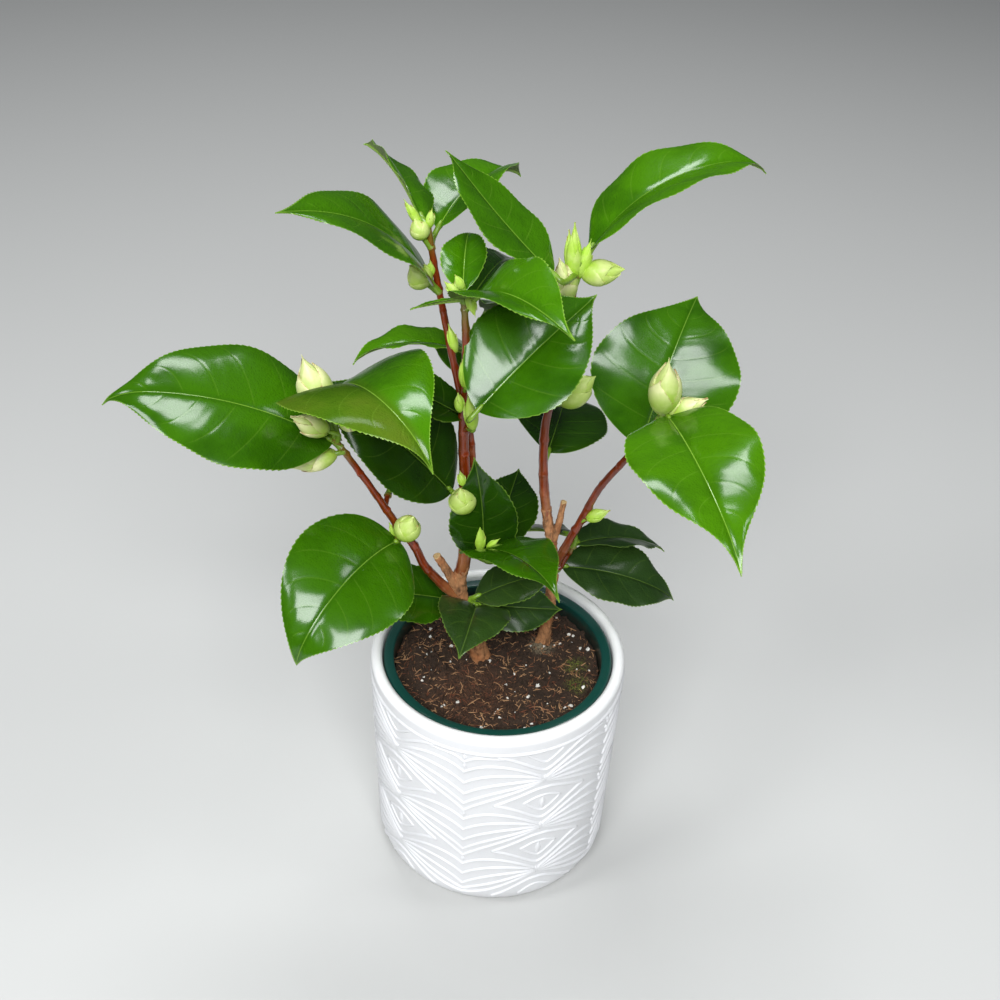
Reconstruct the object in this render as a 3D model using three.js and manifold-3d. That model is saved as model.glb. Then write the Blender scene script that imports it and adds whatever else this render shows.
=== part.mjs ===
// A young camellia shrub with two stems, in a nursery pot that stands in a white ceramic planter.
// Millimetres and degrees, +Z up. The origin is the centre of the planter's flat underside.
// Headings are counted from +X towards +Y, and a rise is the angle above the horizontal.
import * as THREE from 'three';
import { mergeVertices } from 'three/addons/utils/BufferGeometryUtils.js';
import Module from 'manifold-3d';

const wasm = await Module();
wasm.setup();
const { Manifold, Mesh: SolidMesh } = wasm;

// Clearance between touching pieces, and the width of the slivers that a boolean leaves and that are dropped
const GAP = 0.3;
const SLIVER = 0.02;

// Planter: nearly straight, with a rounded lip and a rounded foot
const PLANTER_HEIGHT = 134;
const PLANTER_RIM_RADIUS = 66;
const PLANTER_FOOT_RADIUS = 62.5;
const PLANTER_WALL = 5.8;
const PLANTER_FLOOR = 7;
const FOOT_ROUND = 14;
const POT_SIDES = 40;

// Raised lines on the planter: rows of petals that fan out from points on upright mirror lines, meet in
// cusps halfway between them and leave pointed ovals round the mirror lines. The solid has the main
// lines, under a border, and the visible model adds those between. A line's number counts up from the
// middle of its row.
const MOTIFS = 5;
const PATTERN_TURN = -12.5;
const PETAL_ROWS = 3;
const LINES_PER_ROW = 7;
const LINES_LOW = 11;
const LINES_HIGH = 121;
const BORDER_HEIGHT = 124;
const LINE_WIDTH = 2.6;
const LINE_RISE = 0.8;
const MAIN_LINES = [-2, 1];
const MAIN_OVAL = 1;
const ROW_HEIGHT = (LINES_HIGH - LINES_LOW) / PETAL_ROWS;
const LINE_GAP = ROW_HEIGHT / LINES_PER_ROW;

// Nursery pot, a 120 mm plastic pot with a turned-out rim
const NURSERY_TOP = 131;
const NURSERY_RIM_RADIUS = PLANTER_RIM_RADIUS - PLANTER_WALL - GAP - 0.2;
const NURSERY_RIM_WIDTH = 4.2;
const NURSERY_RIM_DEPTH = 8;
const NURSERY_FOOT_RADIUS = 46;
const NURSERY_WALL = 1.4;

// Soil, level with a low mound round the stems
const SOIL_TOP = 122;

// Fineness of the solids
const LIMB_SIDES = 8;
const TWIG_SIDES = 4;
const STALK_SIDES = 3;
const BUD_SIDES = 5;
const BUD_RINGS = 4;
const LEAF_STATIONS = 7;
const LEAF_THICKNESS = 1.1;
const STALK_THICKNESS = 2.2;

// How a leaf turns where nothing else is said, and how strongly its outline is drawn out to a point
const LEAF_TURNS = { sweep: 0, curl: 0, fold: 10, twist: 0, point: 0.5 };

const material = (color, roughness) => new THREE.MeshStandardMaterial({ color, roughness, metalness: 0 });
const CERAMIC = material(0xe9e9ea, 0.45);
const NURSERY_PLASTIC = material(0x0f4a3a, 0.4);
const SOIL = material(0x2a1f18, 0.95);
const BARK = material(0x9a6a45, 0.8);
const YOUNG_BARK = material(0x6b2a12, 0.5);
const FOLIAGE = material(0x3c7305, 0.3);

// Limbs run from foot to tip through a few points, and thin evenly between two thicknesses.
// A flare widens the foot of a stem where it meets the soil.
const FOOT_LEVEL = SOIL_TOP + GAP;
const FRONT_STEM = {
  route: [[-9, 5, FOOT_LEVEL], [-13.9, 3, 143], [-19.3, 0, 165], [-20.8, -1, 180], [-18.8, -2, 194],
    [-18.6, -1, 230], [-20.4, 0, 262], [-20.6, 0, 286], [-20.2, -1, 315], [-21.5, -2, 337]],
  thickness: [8.6, 3],
  flare: 4.4,
};
const LEFT_LIMB = {
  route: [[-20, -0.5, 168], [-28, -3, 177], [-38.5, -6, 193.5], [-42.5, -8, 205.6], [-51, -11, 221.5],
    [-64, -14, 247.5], [-77.5, -13, 269]],
  thickness: [5, 2.8],
};
const UPPER_LEFT_LIMB = {
  route: [[-18.5, -1, 231], [-16.5, 4, 250], [-19, 6, 271], [-24.3, 8, 292.5], [-30.3, 11, 320.5],
    [-35, 15, 343], [-38.8, 18, 364]],
  thickness: [4, 2.8],
};
const BACK_STEM = {
  route: [[24, 20, FOOT_LEVEL], [26.4, 18, 158], [25.5, 17, 185], [21.4, 17, 209.5], [18.4, 18.5, 232],
    [17.8, 20, 262], [23.4, 21, 296.5], [26.8, 22, 340]],
  thickness: [6.2, 3.2],
  flare: 2.6,
};
const RIGHT_LIMB = {
  route: [[25.6, 17, 172], [30, 14, 188], [37.6, 11, 210.5], [45.4, 7, 235], [57, 2.5, 257.5], [69, -3, 284]],
  thickness: [4.4, 3],
};
// Old cut stubs that end flat
const FRONT_STUB = { route: [[-20.5, -1, 172], [-25.5, -2.8, 184], [-32, -6, 199]], thickness: [5, 3.8] };
const BACK_STUB = { route: [[24.5, 17, 190], [26.8, 15, 203], [29, 13, 221]], thickness: [3.6, 2.8] };

// Shares of each limb's length: old wood ends at its fork, and a bough ends where its spray begins
const FRONT_FORK = 0.32;
const BACK_FORK = 0.41;
const BOUGH_END = { front: 0.785, left: 0.93, upperLeft: 0.71, back: 0.87, right: 0.8 };

const vec = ([x, y, z]) => new THREE.Vector3(x, y, z);
const rad = THREE.MathUtils.degToRad;

function heading(direction, rise) {
  return new THREE.Vector3(
    Math.cos(rad(rise)) * Math.cos(rad(direction)),
    Math.cos(rad(rise)) * Math.sin(rad(direction)),
    Math.sin(rad(rise)),
  );
}

// Booleans work on solids whose faces share their corner points
function toSolid(positions, index) {
  const geometry = new THREE.BufferGeometry();
  geometry.setAttribute('position', new THREE.Float32BufferAttribute(positions, 3));
  geometry.setIndex(index);
  const merged = mergeVertices(geometry, 1e-4);
  return new Manifold(new SolidMesh({
    numProp: 3,
    vertProperties: merged.attributes.position.array,
    triVerts: new Uint32Array(merged.index.array),
  }));
}

function toMesh(name, solid, finish) {
  const result = solid.simplify(SLIVER).getMesh();
  const geometry = new THREE.BufferGeometry();
  geometry.setAttribute('position', new THREE.Float32BufferAttribute(result.vertProperties, 3));
  geometry.setIndex(new THREE.Uint32BufferAttribute(result.triVerts, 1));
  geometry.computeVertexNormals();
  const mesh = new THREE.Mesh(geometry, finish);
  mesh.name = name;
  return mesh;
}

// Rings of points, one after the other, skinned and closed with flat ends
function skin(rings) {
  const sides = rings[0].length;
  const positions = rings.flat().flatMap((point) => point.toArray());
  const index = [];
  for (let ring = 0; ring < rings.length - 1; ring += 1) {
    for (let side = 0; side < sides; side += 1) {
      const a = ring * sides + side;
      const b = ring * sides + (side + 1) % sides;
      index.push(a, b, b + sides, a, b + sides, a + sides);
    }
  }
  const last = (rings.length - 1) * sides;
  for (let side = 1; side < sides - 1; side += 1) {
    index.push(0, side + 1, side);
    index.push(last, last + side, last + side + 1);
  }
  return toSolid(positions, index);
}

const curveOf = (limb) => new THREE.CatmullRomCurve3(limb.route.map(vec), false, 'centripetal');

// Tapering tube along part of a limb; extra widens it all round
function tube(limb, from, to, steps, sides, extra = 0) {
  const curve = curveOf(limb);
  const length = curve.getLength();
  const rings = [];
  let across = new THREE.Vector3(1, 0, 0);
  for (let step = 0; step <= steps; step += 1) {
    const share = from + (to - from) * step / steps;
    const centre = curve.getPointAt(share);
    const along = curve.getTangentAt(share);
    if (limb.level && share === 0) along.set(0, 0, 1);
    across = across.clone().addScaledVector(along, -across.dot(along)).normalize();
    const up = along.clone().cross(across);
    const flare = (limb.flare ?? 0) * Math.exp(-share * length / 9);
    const radius = (THREE.MathUtils.lerp(...limb.thickness, share) + flare) / 2 + extra;
    rings.push(Array.from({ length: sides }, (_, side) => {
      const angle = 2 * Math.PI * side / sides;
      return centre.clone()
        .addScaledVector(across, radius * Math.cos(angle))
        .addScaledVector(up, radius * Math.sin(angle));
    }));
  }
  return skin(rings);
}

const bough = (limb, from, to, steps) => tube(limb, from, to, steps, LIMB_SIDES);

// A solid less the room round the limbs that bear it
function clearOf(solid, ...limbs) {
  return limbs.reduce((rest, limb) => rest.subtract(tube(limb, 0, 1, 24, LIMB_SIDES, GAP)), solid);
}

// Half width of a leaf at a share of its length: widest at two fifths, drawn out to a point
function leafProfile(share, point) {
  return share ** 0.72 * (1 - share) * (1 - point * share ** 5) / 0.302;
}

// The leaf's midrib starts at its base and turns a little at each step: it bends down, sweeps
// aside and twists evenly, and curls over the last quarter
function leafFrames(leaf, stations) {
  const along = heading(leaf.heading, leaf.rise);
  const side = new THREE.Vector3(-Math.sin(rad(leaf.heading)), Math.cos(rad(leaf.heading)), 0);
  side.applyAxisAngle(along, rad(leaf.roll));
  const up = along.clone().cross(side);
  const centre = vec(leaf.base);
  const frames = [];
  for (let station = 0; station <= stations; station += 1) {
    frames.push({ centre: centre.clone(), along: along.clone(), side: side.clone(), up: up.clone() });
    const share = (station + 0.5) / stations;
    const curl = share > 0.75 ? leaf.curl * 32 * (share - 0.75) / stations : 0;
    const down = rad(leaf.bend / stations + curl);
    along.applyAxisAngle(side, down);
    up.applyAxisAngle(side, down);
    along.applyAxisAngle(up, rad(leaf.sweep / stations));
    side.applyAxisAngle(up, rad(leaf.sweep / stations));
    side.applyAxisAngle(along, rad(leaf.twist / stations));
    up.applyAxisAngle(along, rad(leaf.twist / stations));
    centre.addScaledVector(along, leaf.length / stations);
  }
  return frames;
}

// Blade of three lines, midrib and two margins, with the margins raised by the fold
function bladeSolid(leaf) {
  const fold = rad(leaf.fold);
  const rings = leafFrames(leaf, LEAF_STATIONS).map(({ centre, side, up }, station) => {
    const share = station / LEAF_STATIONS;
    const half = Math.max(leaf.width / 2 * leafProfile(share, leaf.point), 0.5);
    const edge = (hand, lift) => centre.clone()
      .addScaledVector(side, hand * half * Math.cos(fold))
      .addScaledVector(up, half * Math.sin(fold) + lift);
    const rib = (lift) => centre.clone().addScaledVector(up, lift);
    const lift = LEAF_THICKNESS / 2;
    return [edge(-1, -lift), edge(-1, lift), rib(lift), edge(1, lift), edge(1, -lift), rib(-lift)];
  });
  return skin(rings.map((ring) => ring.reverse()));
}

// Bud: a pointed oval on its own axis
function budSolid(bud) {
  const along = heading(bud.heading, bud.rise);
  const across = new THREE.Vector3(-Math.sin(rad(bud.heading)), Math.cos(rad(bud.heading)), 0);
  const up = along.clone().cross(across);
  const rings = [];
  for (let ring = 0; ring <= BUD_RINGS; ring += 1) {
    const share = ring / BUD_RINGS;
    const radius = Math.max(bud.width / 2 * Math.sin(Math.PI * share ** 0.8) ** 0.8, 0.4);
    const centre = vec(bud.base).addScaledVector(along, share * bud.length);
    rings.push(Array.from({ length: BUD_SIDES }, (_, side) => {
      const angle = 2 * Math.PI * side / BUD_SIDES;
      return centre.clone()
        .addScaledVector(across, radius * Math.cos(angle))
        .addScaledVector(up, radius * Math.sin(angle));
    }));
  }
  return skin(rings);
}

// Stalk from the nearest place on the twig, arriving along the leaf or bud and sunk well into it
function stalkSolid(twig, from, piece, thickness) {
  const along = heading(piece.heading, piece.rise);
  const base = vec(piece.base);
  const curve = curveOf(twig);
  const arrival = base.clone().addScaledVector(along, -5);
  const start = curve.getSpacedPoints(80).slice(Math.ceil(80 * from) + (from ? 1 : 0))
    .reduce((best, point) => (point.distanceTo(arrival) < best.distanceTo(arrival) ? point : best));
  const sunk = base.clone().addScaledVector(along, Math.min(6, piece.length * 0.3));
  const route = start.distanceTo(base) > 7 ? [start, arrival, base, sunk] : [start, base, sunk];
  const stalk = { route: route.map((point) => point.toArray()), thickness: [thickness, thickness * 0.8] };
  return tube(stalk, 0, 1, 2, STALK_SIDES);
}

// A spray is one twig with its leaves and buds grown on to it. Its foot is either the last
// stretch of a bough or a side twig whose foot is trimmed clear of the limb that bears it.
function spray({ twig, from = 0, bearer, leaves = [], buds = [] }) {
  const pieces = [tube(twig, from, 1, 4, TWIG_SIDES)];
  for (const leaf of leaves) pieces.push(bladeSolid(leaf), stalkSolid(twig, from, leaf, STALK_THICKNESS));
  for (const bud of buds) pieces.push(budSolid(bud), stalkSolid(twig, from, bud, Math.min(2, bud.width / 2)));
  const whole = Manifold.union(pieces);
  return bearer ? clearOf(whole, bearer) : whole;
}

// Each leaf and bud is given by where its base is and which way it points, then its size
const leaf = (base, direction, rise, roll, length, width, bend, turns = {}) => ({
  base, heading: direction, rise, roll, length, width, bend, ...LEAF_TURNS, ...turns,
});
const bud = (base, direction, rise, length, width) => ({ base, heading: direction, rise, length, width });
const twig = (route, thickness) => ({ route, thickness: [thickness, thickness * 0.8] });

// Foliage, from the foot of the plant to its top
const SPRAYS = {
  low_front_spray: {
    twig: twig([[-19.5, 0, 165], [-15, 1, 165.5], [-12.5, 2, 166]], 3),
    bearer: FRONT_STEM,
    leaves: [
      leaf([-12, -3, 165], -85, 50, -15, 51, 36, 83, { sweep: -6 }),
      leaf([-13, -1, 169], 12, 30, 2, 46, 29, 30, { fold: 4, twist: 10 }),
      leaf([-13, -3, 166], 8, -8, 32, 50, 27, 23, { sweep: 6, twist: 7 }),
    ],
  },
  low_left_spray: {
    twig: twig([[-19.3, 0, 164], [-23, 1, 164], [-26, 2, 163.5]], 2.6),
    bearer: FRONT_STEM,
    leaves: [
      leaf([-27, 4, 163], -145, 34, -30, 62, 34, 24, { fold: 7, twist: 3 }),
    ],
  },
  low_right_spray: {
    twig: twig([[26, 17.5, 171], [30, 21, 173], [33, 22.5, 179], [36, 22, 186]], 3),
    bearer: BACK_STEM,
    leaves: [
      leaf([36, 22, 188], 27, 4, -4, 62, 27, 46, { curl: 8, fold: 13 }),
      leaf([31, 23, 172], 2, 0, 23, 72, 37, 46, { sweep: -6, curl: 12 }),
      leaf([33, 25, 192], 136, -14, 20, 52, 25, 33),
    ],
  },
  right_shoot: {
    twig: twig([[37.6, 11, 210.5], [39.5, 9.5, 213], [41, 8.5, 216]], 2.4),
    bearer: RIGHT_LIMB,
    buds: [bud([40, 9, 214], -9, 34, 14, 6)],
  },
  middle_spray: {
    twig: twig([[-18.7, -1.5, 198], [-14, -4, 199], [-11.5, -5, 201]], 3),
    bearer: FRONT_STEM,
    leaves: [
      leaf([-10, -4, 198], 107, 104, -9, 61, 33, 23, { sweep: 14, curl: 20 }),
      leaf([-4, 8, 191], 80, 22, -2, 62, 34, 24),
      leaf([-13, -7, 203], -53, 48, -8, 80, 40, 54, { curl: 22 }),
    ],
    buds: [bud([-19, -8, 229], -122, 75, 16, 12), bud([-11, -6, 203], -103, 84, 18, 5)],
  },
  lower_left_spray: {
    twig: twig([[-50.5, -11, 220.5], [-50, -12.5, 216.5], [-50, -14, 215]], 2.6),
    bearer: LEFT_LIMB,
    leaves: [
      leaf([-50, -14, 214], -110, 28, -29, 88, 56, 84, { curl: 36, fold: 6, twist: 16 }),
    ],
    buds: [bud([-48, -13, 215], -31, 67, 17, 12)],
  },
  inner_left_spray: {
    twig: twig([[-18.6, -1, 224], [-21, 4, 224], [-24, 9, 224.5]], 2.8),
    bearer: FRONT_STEM,
    leaves: [
      leaf([-26, 12, 225], 187, 54, -37, 92, 54, 17, { sweep: 8, fold: 17 }),
    ],
  },
  centre_spray: {
    twig: twig([[-20.6, 0, 270], [-17, -3, 274], [-16, -5, 281]], 3),
    bearer: FRONT_STEM,
    leaves: [
      leaf([-14, -21, 295], 32, 38, 25, 75, 54, 22, { curl: -9, fold: 19 }),
    ],
    buds: [bud([-16, -5, 273], -127, 78, 22, 6)],
  },
  left_spray: {
    twig: LEFT_LIMB,
    from: BOUGH_END.left,
    leaves: [
      leaf([-79, -13, 269], 189, 38, -18, 109, 65, 40, { sweep: 14, curl: 43, fold: 5 }),
      leaf([-80, -7, 283], -72, 69, 24, 101, 70, 111, { sweep: 12, curl: 24 }),
    ],
    buds: [
      bud([-82, -12, 283], 153, 74, 28, 15),
      bud([-80, -17, 277], -154, 34, 23, 11),
      bud([-77, -15, 264], -168, -14, 24, 10),
    ],
  },
  low_back_spray: {
    twig: twig([[18.2, 19, 240], [18.8, 23, 240.5], [20, 26, 241.5]], 2.6),
    bearer: BACK_STEM,
    leaves: [leaf([20, 24.5, 242], 78, 6, 14, 79, 50, 30, { curl: 5, fold: 11 })],
  },
  back_spray: {
    twig: twig([[18.8, 20.3, 270], [20, 25, 272], [20.5, 29, 272]], 3),
    bearer: BACK_STEM,
    leaves: [leaf([17, 33, 276], 103, 11, 15, 80, 43, 36)],
    buds: [bud([22, 24, 274], -22, 53, 24, 11)],
  },
  rear_left_spray: {
    twig: twig([[-56.5, -12.5, 232.5], [-56, -8, 233], [-55.5, -4, 233.5]], 2.6),
    bearer: LEFT_LIMB,
    leaves: [leaf([-55, 0, 234], 84, 0, 15, 76, 41, 26)],
  },
  rear_upper_left_spray: {
    twig: twig([[-22.6, 7.5, 286], [-22, 12, 286], [-21.5, 16, 285.5]], 2.6),
    bearer: UPPER_LEFT_LIMB,
    leaves: [leaf([-21, 20, 285], 86, 2, 18, 76, 42, 42)],
  },
  rear_right_spray: {
    twig: twig([[23.2, 21, 295], [25, 25.5, 297], [26, 30, 300]], 2.8),
    bearer: BACK_STEM,
    leaves: [leaf([20, 34, 310], 118, -8, 12, 74, 40, 30)],
  },
  right_spray: {
    twig: RIGHT_LIMB,
    from: BOUGH_END.right,
    leaves: [
      leaf([62, 4, 262], 71, 32, 0, 103, 70, 26, { sweep: -2, curl: 10, fold: 11, twist: 3 }),
      leaf([71, -9, 288], -85, 21, 24, 102, 54, 53, { sweep: 6, curl: 19, fold: 13, twist: -16 }),
    ],
    buds: [bud([69, -5, 286], -103, 86, 30, 13), bud([71, -6, 286], -19, 35, 19, 9)],
  },
  top_centre_spray: {
    twig: FRONT_STEM,
    from: BOUGH_END.front,
    leaves: [
      leaf([-22, 22, 299], 180, 23, 12, 55, 29, 54, { sweep: 2, curl: 26, fold: 15 }),
      leaf([-18, -1, 337], -70, 49, 19, 79, 40, 73, { sweep: 8, fold: 26 }),
      leaf([-22, -2, 342], 93, 40, -9, 40, 21, 47, { curl: 12, fold: 20 }),
      leaf([-18, 10, 334], 72, 8, 12, 66, 36, 36),
      leaf([-22, -3, 339], 200, 8, 20, 24, 5, 20),
    ],
    buds: [bud([-20, -3, 294], -63, 84, 18, 4)],
  },
  top_left_spray: {
    twig: UPPER_LEFT_LIMB,
    from: BOUGH_END.upperLeft,
    leaves: [
      leaf([-36, 11, 338], -144, 68, -9, 91, 43, 62, { sweep: 14, fold: 6 }),
      leaf([-35, 34, 354], 62, 38, -8, 68, 39, 63, { curl: 22, fold: 20, twist: -10 }),
      leaf([-41, 19, 365], 111, 21, 45, 67, 28, 25, { sweep: -8, curl: 11, fold: 18 }),
    ],
    buds: [bud([-38, 14, 336], -165, 50, 13, 11), bud([-40, 16, 357], -152, 66, 11, 8)],
  },
  top_right_spray: {
    twig: BACK_STEM,
    from: BOUGH_END.back,
    leaves: [
      leaf([16, 3, 350], 146, 29, 9, 73, 35, -4, { sweep: -10, curl: 9, fold: 7 }),
      leaf([32, 22, 352], 34, 55, -25, 98, 47, 71, { curl: 28, fold: 14, twist: 23 }),
    ],
    buds: [
      bud([26, 21, 338], -145, 86, 28, 6.5),
      bud([28, 22, 338], -25, 77, 21, 6),
      bud([29, 22, 340], -12, 16, 20, 11),
      bud([25, 22, 328], -148, 72, 23, 10),
    ],
  },
};

const plant = new THREE.Group();

// Turned pieces: the profile runs on radius and height, and closes on the axis or on itself
function turned(points) {
  const profile = points.map(([radius, height]) => new THREE.Vector2(radius, height));
  const geometry = new THREE.LatheGeometry([...profile, profile[0]], POT_SIDES, rad(PATTERN_TURN));
  geometry.rotateX(Math.PI / 2);
  const { position } = geometry.attributes;
  return toSolid(Array.from(position.array), Array.from(geometry.index.array));
}

// Quarter round from one angle to another, in degrees
function arc(centreRadius, centreHeight, round, from, to, steps) {
  return Array.from({ length: steps + 1 }, (_, step) => {
    const angle = rad(from + (to - from) * step / steps);
    return [centreRadius + round * Math.cos(angle), centreHeight + round * Math.sin(angle)];
  });
}

// Radius of the planter's plain outside at a height
function outer(height) {
  const slope = (PLANTER_RIM_RADIUS - PLANTER_FOOT_RADIUS) / PLANTER_HEIGHT;
  const radius = PLANTER_FOOT_RADIUS + slope * height;
  if (height >= FOOT_ROUND) return radius;
  return radius - FOOT_ROUND + Math.sqrt(FOOT_ROUND ** 2 - (FOOT_ROUND - height) ** 2);
}

// How far a fan has spread, and how far its lines swing, at a share of the way from the cusps to its point
const spread = (share) => 1 - 0.82 * share ** 1.8;
const swing = (share) => 3 * Math.sin(Math.PI * share) - 7 * Math.exp(-4.5 * share);

// Height of a line with its swing, which is flatter near the foot of the pattern
function swung(height, share) {
  return height + swing(share) * Math.min(1, (height - LINES_LOW) / 14);
}

// The three rings of a raised line, foot, crest and foot. Height and strength depend on the share.
function raisedLine(heightAt, strengthAt = () => 1) {
  return [[-0.5, 0], [0, 1], [0.5, 0]].map(([aside, rise]) => (share) => {
    const height = heightAt(share) + aside * LINE_WIDTH;
    return [outer(height) + rise * strengthAt(share) * LINE_RISE, height];
  });
}

// Lines of a row's fans, from the lowest up
function fanLines(row) {
  const level = LINES_LOW + (row + 0.5) * ROW_HEIGHT;
  return MAIN_LINES.flatMap((line) => (
    raisedLine((share) => swung(level + line * LINE_GAP * spread(share), share))
  ));
}

// Pointed ovals between a row and the next one up: a lower and an upper line, flat where they have met
function ovalLines(row) {
  const level = LINES_LOW + (row + 1) * ROW_HEIGHT;
  const room = (share) => (
    LINE_GAP * (LINES_PER_ROW / 2 - MAIN_OVAL - (LINES_PER_ROW - 1) / 2 * spread(share))
  );
  const half = (share) => Math.max(room(share), LINE_WIDTH / 2 + 0.05);
  const strength = (share) => (room(share) > 0 ? 1 : 0);
  return [-1, 1].flatMap((hand) => (
    raisedLine((share) => swung(level, share) + hand * half(share), strength)
  ));
}

// The planter is skinned up its outside, over its lip and down its inside
function planter() {
  const lip = PLANTER_WALL / 2;
  const inner = (height) => outer(height) - PLANTER_WALL;
  const plain = (places) => places.map((place) => () => place);
  const rows = Array.from({ length: PETAL_ROWS }, (_, row) => row);
  const rings = [
    ...plain(arc(outer(FOOT_ROUND) - FOOT_ROUND, FOOT_ROUND, FOOT_ROUND, -90, -15, 5)),
    ...rows.flatMap((row) => [...fanLines(row), ...(row < PETAL_ROWS - 1 ? ovalLines(row) : [])]),
    ...raisedLine(() => BORDER_HEIGHT),
    ...plain(arc(outer(PLANTER_HEIGHT) - lip, PLANTER_HEIGHT - lip, lip, 0, 180, 4)),
    ...plain(arc(inner(FOOT_ROUND + PLANTER_FLOOR) - 9, PLANTER_FLOOR + 9, 9, 0, -90, 3)),
  ];
  return skin(rings.map((placeAt) => Array.from({ length: POT_SIDES }, (_, side) => {
    const turns = side / POT_SIDES;
    const share = 1 - Math.abs(2 * MOTIFS * turns % 2 - 1);
    const [radius, height] = placeAt(share);
    const angle = rad(PATTERN_TURN) + 2 * Math.PI * turns;
    return new THREE.Vector3(radius * Math.sin(angle), -radius * Math.cos(angle), height);
  })));
}

const NURSERY_BOTTOM = PLANTER_FLOOR + GAP;
const NURSERY_BODY_RADIUS = NURSERY_RIM_RADIUS - NURSERY_RIM_WIDTH;

function nurseryPot() {
  const inside = NURSERY_BODY_RADIUS - NURSERY_WALL;
  const floor = NURSERY_BOTTOM + NURSERY_WALL;
  return turned([
    [0, NURSERY_BOTTOM],
    [NURSERY_FOOT_RADIUS, NURSERY_BOTTOM],
    [NURSERY_BODY_RADIUS, NURSERY_TOP - NURSERY_RIM_DEPTH],
    [NURSERY_RIM_RADIUS, NURSERY_TOP - NURSERY_RIM_DEPTH + 1.5],
    [NURSERY_RIM_RADIUS, NURSERY_TOP - 1.2],
    [NURSERY_RIM_RADIUS - 1.2, NURSERY_TOP],
    [inside, NURSERY_TOP],
    [inside - 0.4, NURSERY_TOP - NURSERY_RIM_DEPTH],
    [NURSERY_FOOT_RADIUS - NURSERY_WALL, floor],
    [0, floor],
  ]);
}

function soilPlug() {
  const floor = NURSERY_BOTTOM + NURSERY_WALL + GAP;
  const clear = NURSERY_WALL + GAP + 0.1;
  return turned([
    [0, floor],
    [NURSERY_FOOT_RADIUS - clear, floor],
    [NURSERY_BODY_RADIUS - clear - 0.6, SOIL_TOP],
    [0, SOIL_TOP],
  ]);
}

plant.add(toMesh('planter', planter(), CERAMIC));
plant.add(toMesh('nursery_pot', nurseryPot(), NURSERY_PLASTIC));
plant.add(toMesh('soil', soilPlug(), SOIL));

// Old wood, with its cut stubs grown on, then the boughs
function trunk(limb, fork, stub) {
  return bough({ ...limb, level: true }, 0, fork, 12).add(bough(stub, 0, 1, 4));
}

const gapShare = (limb) => GAP / curveOf(limb).getLength();

plant.add(toMesh('front_trunk', trunk(FRONT_STEM, FRONT_FORK, FRONT_STUB), BARK));
plant.add(toMesh('back_trunk', trunk(BACK_STEM, BACK_FORK, BACK_STUB), BARK));

const BOUGHS = {
  centre_bough: bough(FRONT_STEM, FRONT_FORK + gapShare(FRONT_STEM), BOUGH_END.front, 12),
  left_bough: clearOf(bough(LEFT_LIMB, 0, BOUGH_END.left, 12), FRONT_STEM, FRONT_STUB),
  upper_left_bough: clearOf(bough(UPPER_LEFT_LIMB, 0, BOUGH_END.upperLeft, 12), FRONT_STEM),
  back_bough: bough(BACK_STEM, BACK_FORK + gapShare(BACK_STEM), BOUGH_END.back, 12),
  right_bough: clearOf(bough(RIGHT_LIMB, 0, BOUGH_END.right, 10), BACK_STEM, BACK_STUB),
};
for (const [name, solid] of Object.entries(BOUGHS)) plant.add(toMesh(name, solid, YOUNG_BARK));

for (const [name, parts] of Object.entries(SPRAYS)) {
  const from = parts.from ? parts.from + gapShare(parts.twig) : 0;
  plant.add(toMesh(name, spray({ ...parts, from }), FOLIAGE));
}

export default plant;
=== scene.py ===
# Young camellia shrub in a white planter: the visible model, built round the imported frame.
# The tables give millimetres and degrees in the frame's axes. Meshes are made in metres.
# Headings are counted from +X towards +Y, and a rise is the angle above the horizontal.
import itertools
import math

import bmesh
import bpy
import numpy as np
from bpy.props import FloatProperty, FloatVectorProperty, IntProperty, PointerProperty
from mathutils import Matrix


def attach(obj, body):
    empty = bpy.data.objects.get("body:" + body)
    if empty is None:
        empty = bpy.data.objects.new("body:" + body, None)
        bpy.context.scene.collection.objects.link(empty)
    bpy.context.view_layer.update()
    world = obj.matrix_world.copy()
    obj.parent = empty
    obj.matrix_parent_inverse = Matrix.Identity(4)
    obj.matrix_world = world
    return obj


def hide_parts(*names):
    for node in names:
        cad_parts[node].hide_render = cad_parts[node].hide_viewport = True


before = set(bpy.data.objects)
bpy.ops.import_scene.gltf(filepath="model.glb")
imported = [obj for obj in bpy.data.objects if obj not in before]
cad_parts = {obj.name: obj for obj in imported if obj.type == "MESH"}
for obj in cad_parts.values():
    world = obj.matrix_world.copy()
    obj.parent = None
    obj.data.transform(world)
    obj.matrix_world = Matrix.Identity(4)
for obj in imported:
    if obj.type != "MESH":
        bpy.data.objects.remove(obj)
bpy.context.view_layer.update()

bl_info = {
    "name": "Camellia Shrub in a Planter",
    "version": (1, 0, 0),
    "blender": (4, 5, 0),
    "location": "3D View > Sidebar > Camellia",
    "description": "Makes a young camellia shrub with buds, its soil and its two pots",
    "category": "Add Mesh",
}

MM = 0.001
BODY = "root"

# The first seed of each kind of piece
FRONT_SEED = 30
BACK_SEED = 50
BOUGH_SEED = 70
TWIG_SEED = 90
LEAF_SEED = 101
STALK_SEED = 301
BUD_SEED = 500

# Limbs and foliage


def limb(route, foot, tip, flare=0.8):
    """A limb's points from foot to tip, its thickness at both, and how far its foot is widened."""
    return {"route": route, "thickness": (foot, tip), "flare": flare}


def leaf(base, heading, rise, roll, length, width, bend, tone, **finer):
    """A leaf by the place of its base, the way it points, its size, its bend, its tone and finer shape."""
    plain = {"base": base, "heading": heading, "rise": rise, "roll": roll, "length": length, "width": width}
    return {**LEAF_SHAPE, **plain, "bend": bend, "tone": tone, **finer}


def bud(base, heading, rise, length, width, kind="flower"):
    """A bud by the place of its base, the way it points and its size."""
    return {"base": base, "heading": heading, "rise": rise, "length": length, "width": width, "kind": kind}


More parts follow.
